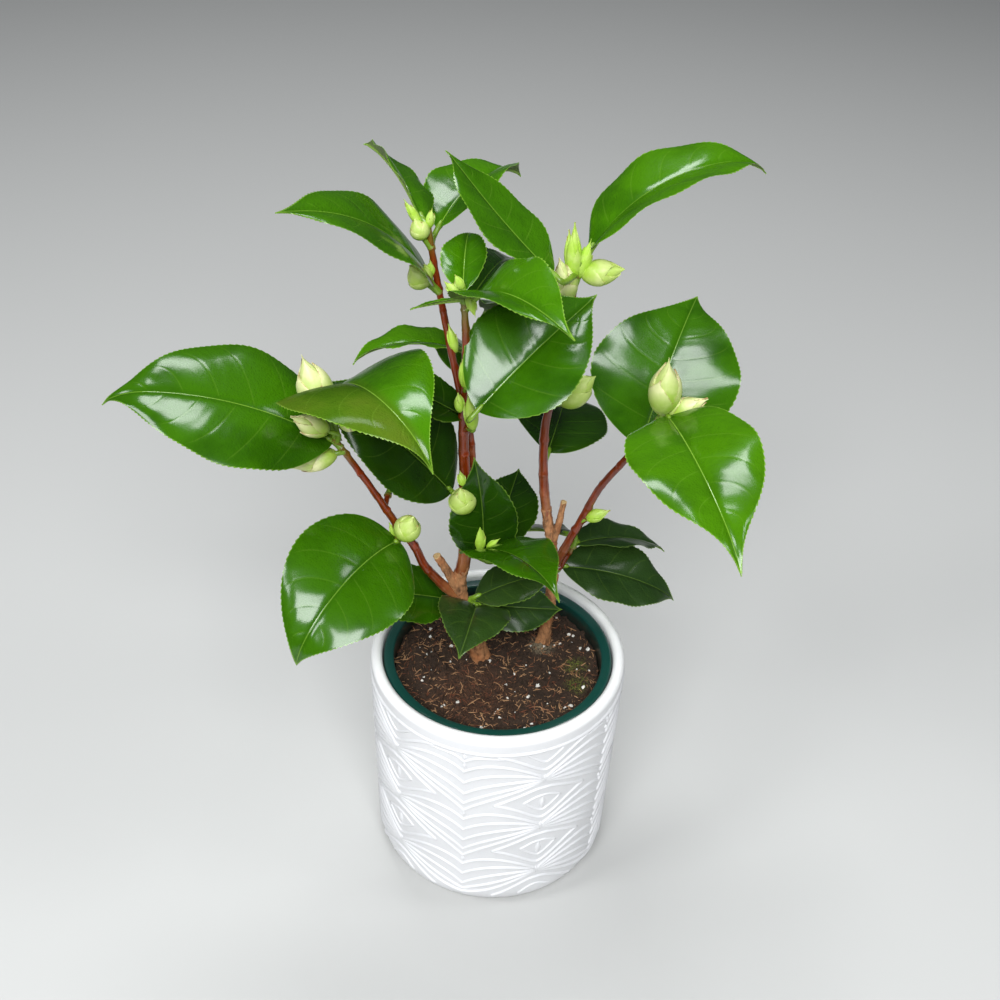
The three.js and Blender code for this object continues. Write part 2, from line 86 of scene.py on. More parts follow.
# A leaf's finer shape. In degrees: the sweep sideways, the hook of its tip, the curl of its last
# quarter, the fold along its midrib, the twist and the droop of its margins. As shares: how pointed it
# is, how far its tip is drawn in and over what length. Then how thick its stalk is, how dull one half
# of it is, and how far it swells between its veins.
LEAF_SHAPE = {
    "sweep": 0, "hook": 0, "curl": 0, "fold": 10, "twist": 0, "droop": 14,
    "point": 0.5, "drip": 0.45, "neck": 0.12, "stalk": 3.0, "olive": 0.0, "quilt": 1.0,
}

FRONT_STEM = limb([
    (-9, 5, 122.3), (-13.9, 3, 143), (-19.3, 0, 165), (-20.8, -1, 180), (-18.8, -2, 194),
    (-18.6, -1, 230), (-20.4, 0, 262), (-20.6, 0, 286), (-20.2, -1, 315), (-21.5, -2, 337),
], 8.6, 3, 4.4)
LEFT_LIMB = limb([
    (-20, -0.5, 168), (-28, -3, 177), (-38.5, -6, 193.5), (-42.5, -8, 205.6),
    (-51, -11, 221.5), (-64, -14, 247.5), (-77.5, -13, 269),
], 5, 2.8, 1.5)
UPPER_LEFT_LIMB = limb([
    (-18.5, -1, 231), (-16.5, 4, 250), (-19, 6, 271), (-24.3, 8, 292.5),
    (-30.3, 11, 320.5), (-35, 15, 343), (-38.8, 18, 364),
], 4, 2.8, 1)
BACK_STEM = limb([
    (24, 20, 122.3), (26.4, 18, 158), (25.5, 17, 185), (21.4, 17, 209.5),
    (18.4, 18.5, 232), (17.8, 20, 262), (23.4, 21, 296.5), (26.8, 22, 340),
], 6.2, 3.2, 2.6)
RIGHT_LIMB = limb([
    (25.6, 17, 172), (30, 14, 188), (37.6, 11, 210.5), (45.4, 7, 235), (57, 2.5, 257.5), (69, -3, 284),
], 4.4, 3, 1.2)
FRONT_STUB = limb([(-20.5, -1, 172), (-25.5, -2.8, 184), (-32, -6, 199)], 5, 3.8, 1)
BACK_STUB = limb([(24.5, 17, 190), (26.8, 15, 203), (29, 13, 221)], 3.6, 2.8, 1)

# Where old wood ends on each stem, as a share of its length, how far old and young wood run into each
# other there, and how far the stems reach into the soil
FRONT_FORK = 0.32
BACK_FORK = 0.41
FORK_OVERLAP = 0.02
YOUNG_OVERLAP = 0.015
STEM_SUNK = 4

# Leaf tones, in the order of the leaves' materials: young leaves are bright, full-grown ones are
# darker and the oldest are deep, and the tones also paint light and shade: leaves in light are given
# brighter tones and leaves in shade deeper ones. The lowest leaves have a greyer colour that paints a
# soft sheen. Undersides come last.
BRIGHT, MID, DEEP, DULL, UNDERSIDE = 0, 1, 2, 3, 4

# Foliage, from the foot of the plant to its top; each entry stands for the node of its name
SPRAYS = {
    "low_front_spray": {
        "twig": limb([(-19.5, 0, 165), (-15, 1, 165.5), (-12.5, 2, 166)], 3, 2.4),
        "leaves": [
            leaf((-12, -3, 165), -85, 50, -15, 51, 36, 83, DULL, sweep=-6),
            leaf((-13, -1, 169), 12, 30, 2, 46, 29, 30, DULL, fold=4, twist=10),
            leaf((-13, -3, 166), 8, -8, 32, 50, 27, 23, DULL, sweep=6, twist=7),
        ],
    },
    "low_left_spray": {
        "twig": limb([(-19.3, 0, 164), (-23, 1, 164), (-26, 2, 163.5)], 2.6, 2.08),
        "leaves": [leaf((-27, 4, 163), -145, 34, -30, 62, 34, 24, MID, fold=7, twist=3)],
    },
    "low_right_spray": {
        "twig": limb([(26, 17.5, 171), (30, 21, 173), (33, 22.5, 179), (36, 22, 186)], 3, 2.4),
        "leaves": [
            leaf((36, 22, 188), 27, 4, -4, 62, 27, 46, DULL, curl=8, fold=13),
            leaf((31, 23, 172), 2, 0, 23, 72, 37, 46, DULL, sweep=-6, curl=12),
            leaf((33, 25, 192), 136, -14, 20, 52, 25, 33, DULL),
        ],
    },
    "right_shoot": {
        "twig": limb([(37.6, 11, 210.5), (39.5, 9.5, 213), (41, 8.5, 216)], 2.4, 1.92),
        "leaves": [],
        "buds": [bud((40, 9, 214), -9, 34, 14, 6, "shoot")],
    },
    "middle_spray": {
        "twig": limb([(-18.7, -1.5, 198), (-14, -4, 199), (-11.5, -5, 201)], 3, 2.4),
        "leaves": [
            leaf((-10, -4, 198), 107, 104, -9, 61, 33, 23, DEEP, sweep=14, curl=20),
            leaf((-4, 8, 191), 80, 22, -2, 62, 34, 24, DEEP),
            leaf((-13, -7, 203), -53, 48, -8, 80, 40, 54, MID, curl=22, drip=0.6, neck=0.18),
        ],
        "buds": [bud((-19, -8, 229), -122, 75, 16, 12), bud((-11, -6, 203), -103, 84, 18, 5, "shoot")],
    },
    "lower_left_spray": {
        "twig": limb([(-50.5, -11, 220.5), (-50, -12.5, 216.5), (-50, -14, 215)], 2.6, 2.08),
        "leaves": [
            leaf(
                (-50, -14, 214), -113, 28, -33, 91, 59, 86, MID,
                sweep=22, curl=34, fold=6, twist=14, droop=20, quilt=3,
            ),
        ],
        "buds": [bud((-48, -13, 215), -31, 67, 17, 12)],
    },
    "inner_left_spray": {
        "twig": limb([(-18.6, -1, 224), (-21, 4, 224), (-24, 9, 224.5)], 2.8, 2.24),
        "leaves": [leaf((-26, 12, 225), 187, 54, -37, 92, 54, 17, DEEP, sweep=8, fold=17)],
    },
    "centre_spray": {
        "twig": limb([(-20.6, 0, 270), (-17, -3, 274), (-16, -5, 281)], 3, 2.4),
        "leaves": [leaf((-14, -21, 294), 31, 42, 28, 75, 55, 24, MID, curl=-9, fold=15)],
        "buds": [bud((-16, -5, 273), -127, 78, 22, 6, "shoot")],
    },
    "left_spray": {
        "twig": LEFT_LIMB,
        "from": 0.93,
        "leaves": [
            leaf(
                (-79, -13, 269), 189, 39, -21, 109, 65, 41, MID,
                sweep=14, curl=43, fold=5, droop=26, drip=0.6, neck=0.16,
            ),
            leaf(
                (-80, -7, 283), -81, 69, 26, 110, 64, 111, BRIGHT,
                sweep=8, hook=-0.3, curl=24, droop=22, drip=0.6, neck=0.2, stalk=4.4, olive=1.0,
            ),
        ],
        "buds": [
            bud((-82, -12, 283), 172, 72, 31, 15, "open"),
            bud((-80, -17, 277), -154, 34, 21, 9.5, "open"),
            bud((-77, -15, 264), -168, -14, 24, 10, "open"),
        ],
    },
    "low_back_spray": {
        "twig": limb([(18.2, 19, 240), (18.8, 23, 240.5), (20, 26, 241.5)], 2.6, 2.08),
        "leaves": [leaf((20, 24.5, 242), 78, 6, 14, 79, 50, 30, DEEP, curl=5, fold=11)],
    },
    "back_spray": {
        "twig": limb([(18.8, 20.3, 270), (20, 25, 272), (20.5, 29, 272)], 3, 2.4),
        "leaves": [leaf((17, 33, 276), 103, 11, 15, 80, 43, 36, MID)],
        "buds": [bud((24, 22, 272), -18, 50, 25, 13)],
    },
    "rear_left_spray": {
        "twig": limb([(-56.5, -12.5, 232.5), (-56, -8, 233), (-55.5, -4, 233.5)], 2.6, 2.08),
        "leaves": [leaf((-55, 0, 234), 84, 0, 15, 76, 41, 26, MID)],
    },
    "rear_upper_left_spray": {
        "twig": limb([(-22.6, 7.5, 286), (-22, 12, 286), (-21.5, 16, 285.5)], 2.6, 2.08),
        "leaves": [leaf((-21, 20, 285), 86, 2, 18, 76, 42, 42, MID)],
    },
    "rear_right_spray": {
        "twig": limb([(23.2, 21, 295), (25, 25.5, 297), (26, 30, 300)], 2.8, 2.24),
        "leaves": [leaf((20, 34, 310), 118, -8, 12, 74, 40, 30, MID)],
    },
    "right_spray": {
        "twig": RIGHT_LIMB,
        "from": 0.8,
        "leaves": [
            leaf((62, 4, 262), 71, 32, 4, 103, 70, 26, MID, sweep=-2, curl=5, fold=3, twist=3, droop=6),
            leaf(
                (71, -9, 288), -85, 21, 18, 104, 56, 53, BRIGHT,
                sweep=6, curl=19, fold=13, twist=-16, droop=22, drip=0.6, neck=0.2,
            ),
        ],
        "buds": [bud((69, -5, 286), -103, 86, 31, 14, "tall"), bud((71, -6, 286), -12, 35, 21, 9, "open")],
    },
    "top_centre_spray": {
        "twig": FRONT_STEM,
        "from": 0.785,
        "leaves": [
            leaf((-22, 22, 299), 180, 23, 12, 55, 29, 54, BRIGHT, sweep=2, curl=26, fold=15),
            leaf((-18, -1, 337), -70, 49, 19, 79, 40, 73, BRIGHT, sweep=8, fold=26, drip=0.6, neck=0.18),
            leaf((-22, -2, 342), 93, 40, -9, 40, 21, 47, BRIGHT, curl=12, fold=20),
            leaf((-18, 10, 334), 72, 8, 12, 66, 36, 36, MID),
            leaf((-22, -3, 339), 200, 8, 20, 24, 5, 20, BRIGHT),
        ],
        "buds": [bud((-20, -3, 294), -63, 84, 18, 4, "shoot")],
    },
    "top_left_spray": {
        "twig": UPPER_LEFT_LIMB,
        "from": 0.71,
        "leaves": [
            leaf((-36, 11, 338), -144, 68, -16, 91, 43, 62, MID, sweep=14, fold=6),
            leaf((-35, 34, 354), 62, 38, -8, 68, 39, 63, BRIGHT, curl=22, fold=20, twist=-10),
            leaf((-41, 19, 365), 111, 21, 45, 67, 28, 25, BRIGHT, sweep=-8, curl=11, fold=18),
        ],
        "buds": [bud((-38, 14, 336), -165, 50, 13, 11), bud((-40, 16, 357), -152, 66, 11, 8)],
    },
    "top_right_spray": {
        "twig": BACK_STEM,
        "from": 0.87,
        "leaves": [
            leaf((16, 3, 350), 146, 29, 4, 73, 35, -4, MID, sweep=-10, curl=9, fold=7),
            leaf((32, 22, 352), 34, 55, -25, 98, 47, 71, BRIGHT, curl=28, fold=14, twist=23, stalk=4.2),
        ],
        "buds": [
            bud((26, 21, 338), -145, 86, 28, 6.5, "shoot"),
            bud((28, 22, 338), -25, 77, 21, 6, "shoot"),
            bud((29, 22, 340), -12, 16, 20, 11),
            bud((25, 22, 328), -148, 72, 23, 10, "open"),
        ],
    },
}

# One more leaf half hidden in the middle of the crown, and the smallest buds
INNER_LEAF = leaf((-19, 2, 275), 170, 30, -10, 50, 27, 30, DEEP)
SMALL_BUDS = [
    bud((-75, -14, 279), -35, 33, 16.6, 8, "open"),
    bud((-20, -9, 244), 180, 80, 9, 3.5, "shoot"),
    bud((-25, 9, 305), -165, 76, 15.8, 4, "shoot"),
    bud((-21, -2, 294), -108, 82, 16, 3.4, "shoot"),
    bud((-22, -4, 282), -116, 79, 11.6, 4.5, "shoot"),
    bud((-38, 18, 361), -37, 80, 10, 3.5, "shoot"),
    bud((-41, 18, 361), -173, 60, 15.6, 3.5, "shoot"),
    bud((-36, 15, 340), -121, 75, 9, 3, "shoot"),
    bud((-23, -2, 339), -165, 49, 11.6, 4, "shoot"),
    bud((-22, -2, 343), -164, 64, 8.3, 3.5, "shoot"),
    bud((-20, -2, 342), -57, -52, 11.6, 4, "shoot"),
    bud((25, 22, 339), 180, 83, 22.6, 5, "shoot"),
    bud((-8, -6, 205), -17, 50, 10.7, 3, "shoot"),
    bud((-51, -11, 212), -164, 71, 11.5, 3, "shoot"),
]

# Which sprays' leaves go together into one piece
LEAF_PIECES = {
    "leaves_low": (
        "low_front_spray", "low_left_spray", "low_right_spray", "middle_spray", "lower_left_spray",
    ),
    "leaves_middle": (
        "inner_left_spray", "centre_spray", "left_spray", "low_back_spray", "back_spray", "right_spray",
    ),
    "leaves_rear": ("rear_left_spray", "rear_upper_left_spray", "rear_right_spray"),
    "leaves_top": ("top_centre_spray", "top_left_spray", "top_right_spray"),
}
INNER_LEAF_PIECE = "leaves_rear"
TWIG_NODES = ("right_shoot",)
YOUNG_WOOD_NODES = ("centre_bough", "left_bough", "upper_left_bough", "back_bough", "right_bough")

# Pots: the planter's outline, its rounded lip and foot, and the nursery pot that stands in it
PLANTER_HEIGHT = 134
PLANTER_RIM = 66
PLANTER_FOOT = 62.5
PLANTER_WALL = 5.8
PLANTER_FLOOR = 7
PLANTER_SIDES = 192
FOOT_ROUND = 14
FOOT_RING = 47
FOOT_HOLLOW = 0.6
FLOOR_ROUND = 9
NURSERY_TOP = 131
NURSERY_RIM = 59.7
NURSERY_RIM_WIDTH = 4.2
NURSERY_RIM_DEPTH = 8
NURSERY_FOOT = 46
NURSERY_WALL = 1.4
NURSERY_BOTTOM = 7.3
NURSERY_SIDES = 160
# Heights over which the nursery pot turns a blotchy dark brown, just under its rim
DARKENING_LINE = (124.5, 128.5)
SOIL_TOP = 122
SOIL_FLOOR = 9
SOIL_TOP_RADIUS = 53.1
SOIL_FOOT_RADIUS = 44.2

# The camera, worked out from the planter's outline: place in millimetres, angles in degrees
CAMERA_PLACE = (-2.35, -512.2, 613.4)
CAMERA_PITCH = 36.8
CAMERA_ROLL = 2.49
CAMERA_LENS = 48.13
CAMERA_SENSOR = 36
CAMERA_RANGE = (0.05, 50)


def shade(red, green, blue):
    """A colour given in ordinary 0 to 255 steps, as linear values."""
    steps = [value / 255 for value in (red, green, blue)]
    return tuple(s / 12.92 if s <= 0.04045 else ((s + 0.055) / 1.055) ** 2.4 for s in steps)


def scaled(base, *factors):
    """A colour made lighter or darker by one factor, or by one for each of its three parts."""
    factors = factors * (3 // len(factors))
    return tuple(min(1, part * factor) for part, factor in zip(base, factors))


# Curves and frames


def unit(vector):
    """The vector with length one."""
    return vector / np.maximum(np.linalg.norm(vector, axis=-1, keepdims=True), 1e-12)


def direction(heading, rise):
    """Unit vector for a heading and a rise in degrees."""
    turn = math.radians(heading)
    lift = math.radians(rise)
    return np.array([math.cos(lift) * math.cos(turn), math.cos(lift) * math.sin(turn), math.sin(lift)])


def through(points, per_span=40):
    """A smooth curve through a few points, with the same rule as the solids."""
    points = np.array(points, float)
    ends = np.vstack([2 * points[0] - points[1], points, 2 * points[-1] - points[-2]])
    spans = []
    share = np.linspace(0, 1, per_span, endpoint=False)[:, None]
    for at in range(len(points) - 1):
        before, start, end, after = ends[at:at + 4]
        gaps = [np.linalg.norm(b - a) ** 0.5 for a, b in ((before, start), (start, end), (end, after))]
        leave = ((start - before) / gaps[0] - (end - before) / (gaps[0] + gaps[1]) + (end - start) / gaps[1])
        leave = leave * gaps[1]
        arrive = ((end - start) / gaps[1] - (after - start) / (gaps[1] + gaps[2]) + (after - end) / gaps[2])
        arrive = arrive * gaps[1]
        square = -3 * start + 3 * end - 2 * leave - arrive
        cube = 2 * start - 2 * end + leave + arrive
        spans.append(start + leave * share + square * share ** 2 + cube * share ** 3)
    return np.vstack([*spans, points[-1]])


def run_of(curve):
    """Distance along a curve at each of its points."""
    return np.concatenate([[0], np.cumsum(np.linalg.norm(np.diff(curve, axis=0), axis=1))])


def at_run(curve, wanted):
    """Points of a curve at given distances along it."""
    run = run_of(curve)
    return np.stack([np.interp(wanted, run, curve[:, axis]) for axis in range(3)], axis=-1)


def carried(tangents, first=(1.0, 0.0, 0.0)):
    """A crosswise direction carried along a curve without twisting."""
    across = np.array(first, float)
    if abs(across @ tangents[0]) > 0.9:
        across = np.array([0.0, 1.0, 0.0])
    rows = []
    for tangent in tangents:
        across = across - tangent * (across @ tangent)
        across = across / np.linalg.norm(across)
        rows.append(across)
    return np.array(rows)


def around(across, up, angle):
    """Directions at angles round an axis, from two directions square to it."""
    cosine, sine = np.cos(angle)[..., None], np.sin(angle)[..., None]
    return across[..., None, :] * cosine + up[..., None, :] * sine


def rolling(x, y, seed, count, low, high):
    """Gentle uneven ground: a sum of waves between two wavelengths, about -1 to 1."""
    draw = np.random.default_rng(seed)
    turns = draw.uniform(0, 2 * np.pi, count)
    paces = 2 * np.pi / np.exp(draw.uniform(np.log(low), np.log(high), count))
    phases = draw.uniform(0, 2 * np.pi, count)
    total = np.zeros(np.broadcast(x, y).shape)
    for pace, turn, phase in zip(paces, turns, phases):
        total = total + np.cos(pace * (x * math.cos(turn) + y * math.sin(turn)) + phase)
    return total / math.sqrt(count)


def round_waves(run, angle, seed, count, most_turns, low, high):
    """Uneven relief on a round limb: waves along it that close on themselves round it."""
    draw = np.random.default_rng(seed)
    total = np.zeros(np.broadcast(run, angle).shape)
    for _ in range(count):
        turns = draw.integers(0, most_turns + 1)
        pace = 2 * np.pi / draw.uniform(low, high) * draw.choice([-1, 1])
        total = total + np.cos(turns * angle + pace * run + draw.uniform(0, 2 * np.pi))
    return total / math.sqrt(count)


def sheet_faces(index):
    """Faces between the points of a sheet, from their numbers in rows and columns."""
    return np.stack([index[:-1, :-1], index[1:, :-1], index[1:, 1:], index[:-1, 1:]], axis=-1).reshape(-1, 4)


def ring_faces(rows, sides):
    """Faces between rings of points that close on themselves."""
    index = np.arange(rows * sides).reshape(rows, sides)
    after = np.roll(index, -1, axis=1)
    return np.stack([index[:-1], after[:-1], after[1:], index[1:]], axis=-1).reshape(-1, 4).tolist()


def fan_faces(ring, hub):
    """Faces from each edge of a closed ring to one point."""
    return [(a, b, hub) for a, b in zip(ring, (*ring[1:], ring[0]))]


class Shape:
    """Points, faces and named values gathered for one piece."""

    def __init__(self):
        self.points = []
        self.faces = []
        self.finishes = []
        self.values = []
        self.count = 0

    def add(self, points, faces, finish=0, **values):
        """Adds points with their faces; values are numbers for the points."""
        points = np.asarray(points, float).reshape(-1, 3)
        self.faces.extend([[corner + self.count for corner in face] for face in faces])
        self.finishes.extend([finish] * len(faces) if np.isscalar(finish) else list(finish))
        self.values.append({name: np.broadcast_to(value, len(points)) for name, value in values.items()})
        self.points.append(points)
        self.count += len(points)

    def add_tube(self, grid, finish=0, **values):
        """Adds rings of points, closed round and with flat ends."""
        rows, sides = grid.shape[:2]
        last = (rows - 1) * sides
        ends = [tuple(range(sides))[::-1], tuple(range(last, last + sides))]
        flat = {name: np.broadcast_to(value, (rows, sides)).ravel() for name, value in values.items()}
        self.add(grid, ring_faces(rows, sides) + ends, finish, **flat)

    def add_slab(self, top, under, finish_top=0, finish_under=0, **values):
        """Adds a thin closed sheet from its top and its underside, joined round the border."""
        rows, columns = top.shape[:2]
        offset = rows * columns
        index = np.arange(offset).reshape(rows, columns)
        upper = sheet_faces(index)
        lower = upper[:, ::-1] + offset
        border = np.concatenate([index[0, :], index[1:, -1], index[-1, -2::-1], index[-2:0:-1, 0]])
        after = np.roll(border, -1)
        strip = np.stack([border, after, after + offset, border + offset], axis=-1)
        faces = np.concatenate([upper, lower, strip]).tolist()
        finish = [finish_top] * len(upper) + [finish_under] * len(lower) + [finish_top] * len(strip)
        both = {name: np.tile(np.broadcast_to(value, (rows, columns)).ravel(), 2)
                for name, value in values.items()}
        self.add(np.stack([top, under]), faces, finish, **both)

    def to_object(self, name, finishes, sharp=None):
        """Makes the piece, in metres, with smooth faces and the given materials."""
        mesh = bpy.data.meshes.new(name)
        mesh.from_pydata((np.vstack(self.points) * MM).tolist(), [], self.faces)
        for finish in finishes:
            mesh.materials.append(finish)
        mesh.polygons.foreach_set("material_index", np.array(self.finishes, np.int32))
        for value in sorted({key for part in self.values for key in part}):
            parts = [part.get(value, np.zeros(len(p))) for part, p in zip(self.values, self.points)]
            attribute = mesh.attributes.new(value, "FLOAT", "POINT")
            attribute.data.foreach_set("value", np.concatenate(parts).astype(np.float32))
        mesh.shade_smooth()
        if sharp is not None:
            mesh.set_sharp_from_angle(angle=math.radians(sharp))
        mesh.update()
        return linked(name, mesh)


def linked(name, data):
    """An object with its data, linked to the scene."""
    made = bpy.data.objects.new(name, data)
    bpy.context.scene.collection.objects.link(made)
    return made


def dressed(piece, nodes=()):
    """Puts a finished piece on the plant's body and for its nodes."""
    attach(piece, BODY)
    if nodes:
        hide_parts(*nodes)
    return piece


# Node trees and shader maths


class Tree:
    """A node tree under construction."""

    def node(self, kind, settings=None, inputs=None, output=0):
        """Adds one node: settings first, then the values or links of its sockets."""
        made = self.tree.nodes.new(kind)
        for key, value in (settings or {}).items():
            setattr(made, key, value)
        for key, value in (inputs or {}).items():
            self.give(made.inputs[key], value)
        return made.outputs[output]

    def give(self, target, value):
        """Gives a socket a link or a value."""
        if isinstance(value, (Number, Colour)):
            value = value.socket
        if isinstance(value, bpy.types.NodeSocket):
            self.tree.links.new(value, target)
        elif target.type == "RGBA":
            target.default_value = (*tuple(value)[:3], 1)
        else:
            target.default_value = value


class Number:
    """A number that varies over a surface; arithmetic on it adds Math nodes."""

    def __init__(self, finish, socket):
        self.finish = finish
        self.socket = socket

    def maths(self, operation, *values):
        """One Math node on this number and others."""
        inputs = dict(enumerate((self, *values)))
        return Number(self.finish, self.finish.node("ShaderNodeMath", {"operation": operation}, inputs))

    def __add__(self, other):
        return self.maths("ADD", other)

    __radd__ = __add__

    def __sub__(self, other):
        return self.maths("SUBTRACT", other)

    def __rsub__(self, other):
        return (self * -1.0) + other

    def __mul__(self, other):
        return self.maths("MULTIPLY", other)

    __rmul__ = __mul__

    def within(self, low, high):
        """Runs smoothly from 0 at low to 1 at high."""
        settings = {"interpolation_type": "SMOOTHSTEP"}
        inputs = {"Value": self, "From Min": low, "From Max": high}
        return Number(self.finish, self.finish.node("ShaderNodeMapRange", settings, inputs))

    def below(self, low, high):
        """Runs smoothly from 1 at low to 0 at high."""
        return 1.0 - self.within(low, high)


class Colour:
    """A colour that varies over a surface."""

    def __init__(self, finish, socket):
        self.finish = finish
        self.socket = socket

    def towards(self, other, factor):
        """This colour mixed with another by a number from 0 to 1."""
        return self.finish.mix(factor, self, other)


class Finish(Tree):
    """A material under construction."""

    def __init__(self, name, **shader):
        self.material = bpy.data.materials.new(name)
        self.material.use_nodes = True
        self.tree = self.material.node_tree
        self.shader = self.tree.nodes["Principled BSDF"].inputs
        for socket, value in shader.items():
            self.set(socket.replace("_", " ").title().replace("Ior", "IOR"), value)
        self.place = None

    def set(self, socket, value):
        """Gives a value or a link to one of the shader's own sockets."""
        self.give(self.shader[socket], value)

    def done(self, base, rough, height=None, depth=0):
        """Ends the material in its colour, its roughness and relief of a depth in metres."""
        self.set("Base Color", base)
        self.set("Roughness", rough)
        if height is not None:
            inputs = {"Height": height, "Distance": depth, "Strength": 1.0}
            self.set("Normal", self.node("ShaderNodeBump", {}, inputs))
        return self.material

    def value(self, name):
        """A named value of the piece's points."""
        return Number(self, self.node("ShaderNodeAttribute", {"attribute_name": name}, output=2))

    def where(self, stretch=None):
        """The place on the piece, in metres, or stretched along its axes."""
        if self.place is None:
            self.place = self.node("ShaderNodeTexCoord", output=3)
        if stretch is None:
            return self.place
        settings = {"operation": "MULTIPLY"}
        return self.node("ShaderNodeVectorMath", settings, {0: self.place, 1: stretch})

    def near(self, place, reach):
        """One at a place given in millimetres, fading to nothing at a reach from it."""
        inputs = {0: self.where(), 1: tuple(part * MM for part in place)}
        away = Number(self, self.node("ShaderNodeVectorMath", {"operation": "DISTANCE"}, inputs, output=1))
        return away.below(0.25 * reach * MM, reach * MM)

    def height(self):
        """Height above the table in metres."""
        return Number(self, self.node("ShaderNodeSeparateXYZ", {}, {0: self.where()}, output=2))

    def noise(self, scale, detail=2.0, roughness=0.5, stretch=None):
        """Cloudy noise from 0 to 1, with its scale in patches to the metre."""
        inputs = {"Vector": self.where(stretch), "Scale": scale, "Detail": detail, "Roughness": roughness}
        return Number(self, self.node("ShaderNodeTexNoise", {}, inputs))

    def cells(self, scale, feature="DISTANCE_TO_EDGE"):
        """Distance to the border of small cells, with their scale in cells to the metre."""
        inputs = {"Vector": self.where(), "Scale": scale}
        return Number(self, self.node("ShaderNodeTexVoronoi", {"feature": feature}, inputs))

    def mix(self, factor, first, second):
        """Two colours mixed by a number from 0 to 1."""
        inputs = {0: factor, 6: first, 7: second}
        return Colour(self, self.node("ShaderNodeMix", {"data_type": "RGBA"}, inputs, output=2))


# Sizes and colours that a user would change


def length(name, text, millimetres):
    """A length setting with a default in millimetres."""
    default = millimetres * MM
    return FloatProperty(name=name, description=text, default=default, min=0, unit="LENGTH", precision=4)


def count(name, text, default, least=0, most=10**7):
    """A whole number setting."""
    return IntProperty(name=name, description=text, default=default, min=least, max=most)


def colour(name, text, red, green, blue):
    """A colour setting with a default in 0 to 255 steps."""
    default = shade(red, green, blue)
    return FloatVectorProperty(
        name=name, description=text, default=default, min=0, max=1, size=3, subtype="COLOR",
    )


class CamelliaPots(bpy.types.PropertyGroup):
    line_width: length("Line width", "Width of a raised line on the planter, with its soft sides", 2.5)
    line_rise: length("Line rise", "How far a raised line stands out", 1.0)
    motifs: count("Motifs", "Motifs round the planter", 5, 2, 12)
    glaze: colour("Glaze", "Colour of the planter", 226, 226, 228)
    # The lip colour is a painted highlight: it lightens the top band of the lip for the light that falls on
    # it.
    lip: colour("Lip", "Colour of the planter's lip, where the glaze is thin and bright", 253, 253, 253)
    plastic: colour("Plastic", "Colour of the nursery pot", 10, 68, 60)


class CamelliaSoil(bpy.types.PropertyGroup):
    crumbs: count("Crumbs", "Crumbs of peat to the square metre", 240000)
    clods: count("Clods", "Larger lumps of peat to the square metre", 19200)
    fibres: count("Fibres", "Fibres to the square metre", 150000)
    grains: count("White grains", "White grains to the square metre", 7000)
    seed: count("Seed", "Which scatter is drawn", 7)
    peat: colour("Peat", "Colour of the soil", 64, 45, 30)
    fibre: colour("Fibre", "Colour of the fibres", 190, 146, 104)


class CamelliaWood(bpy.types.PropertyGroup):
    bark_depth: length("Bark depth", "Depth of the relief on old wood", 0.42)
    old: colour("Old bark", "Colour of the stems", 176, 124, 82)
    young: colour("Young bark", "Colour of the boughs", 126, 45, 6)
    cut: colour("Cut wood", "Colour of a cut end", 206, 172, 120)


class CamelliaLeaves(bpy.types.PropertyGroup):
    thickness: length("Thickness", "Thickness of a blade", 0.5)
    tooth_depth: length("Tooth depth", "Depth of the teeth along the margin", 0.55)
    row: length("Row", "Distance between rows of a blade's mesh, three of which make a tooth", 0.72)
    # The leaf colours are partly painted light and shade: brighter colours also go to lit leaves and the old
    # leaf colour to shaded ones.
    bright: colour("Young leaf", "Colour of the youngest leaves", 60, 112, 4)
    mid: colour("Leaf", "Colour of full-grown leaves", 50, 98, 4)
    deep: colour("Old leaf", "Colour of the oldest leaves", 32, 66, 6)
    # The low leaf colour is greyed to paint a soft sheen of sky light on the lowest leaves; their rougher
    # coat gives the rest of it.
    dull: colour("Low leaf", "Colour of the lowest leaves", 42, 68, 26)
    olive: colour("Olive", "Colour of the dull half of a leaf", 84, 98, 28)
    vein: colour("Vein", "Colour of midribs and margins", 150, 190, 70)
    under: colour("Underside", "Colour of the undersides", 98, 124, 48)
    stalk: colour("Leaf stalk", "Colour of the leaf stalks", 118, 156, 34)


class CamelliaBuds(bpy.types.PropertyGroup):
    green: colour("Bud green", "Colour at the foot of a bud", 158, 190, 62)
    cream: colour("Bud cream", "Colour of the scales' tips", 226, 226, 168)
    shoot: colour("Shoot", "Colour of the slender leaf buds", 166, 206, 58)
    brown: colour("Brown", "Colour of the scales' thin rims", 140, 86, 36)


class CamelliaStage(bpy.types.PropertyGroup):
    floor_width: length("Floor", "Width of the floor", 14000)
    floor: colour("Floor colour", "Colour of the plain floor", 196, 196, 194)
    sky: colour("Sky", "Colour of the light from all sides", 231, 241, 255)
    light_power: FloatProperty(
        name="Light", description="Power of all the lights, shared out", default=34, min=0, unit="POWER",
    )
    room_light: FloatProperty(
        name="Room light", description="Strength of the light from all sides", default=0.05, min=0,
    )


def settings_of(context, group):
    """One group of settings of the scene."""
    return getattr(context.scene, group)


# Pots


def turned(profile, sides):
    """A turned piece from its outline of radius and height, closed on the axis at both ends."""
    profile = np.array(profile, float)
    angle = np.linspace(0, 2 * np.pi, sides, endpoint=False)
    rings = profile[1:-1]
    heights = np.repeat(rings[:, 1:], sides, axis=1)
    grid = np.stack([rings[:, :1] * np.cos(angle), rings[:, :1] * np.sin(angle), heights], axis=-1)
    points = np.vstack([grid.reshape(-1, 3), [0, 0, profile[0, 1]], [0, 0, profile[-1, 1]]])
    foot = range(sides)
    top = range((len(rings) - 1) * sides, len(rings) * sides)
    ends = fan_faces(foot[::-1], len(points) - 2) + fan_faces(top, len(points) - 1)
    return points, ring_faces(len(rings), sides) + ends


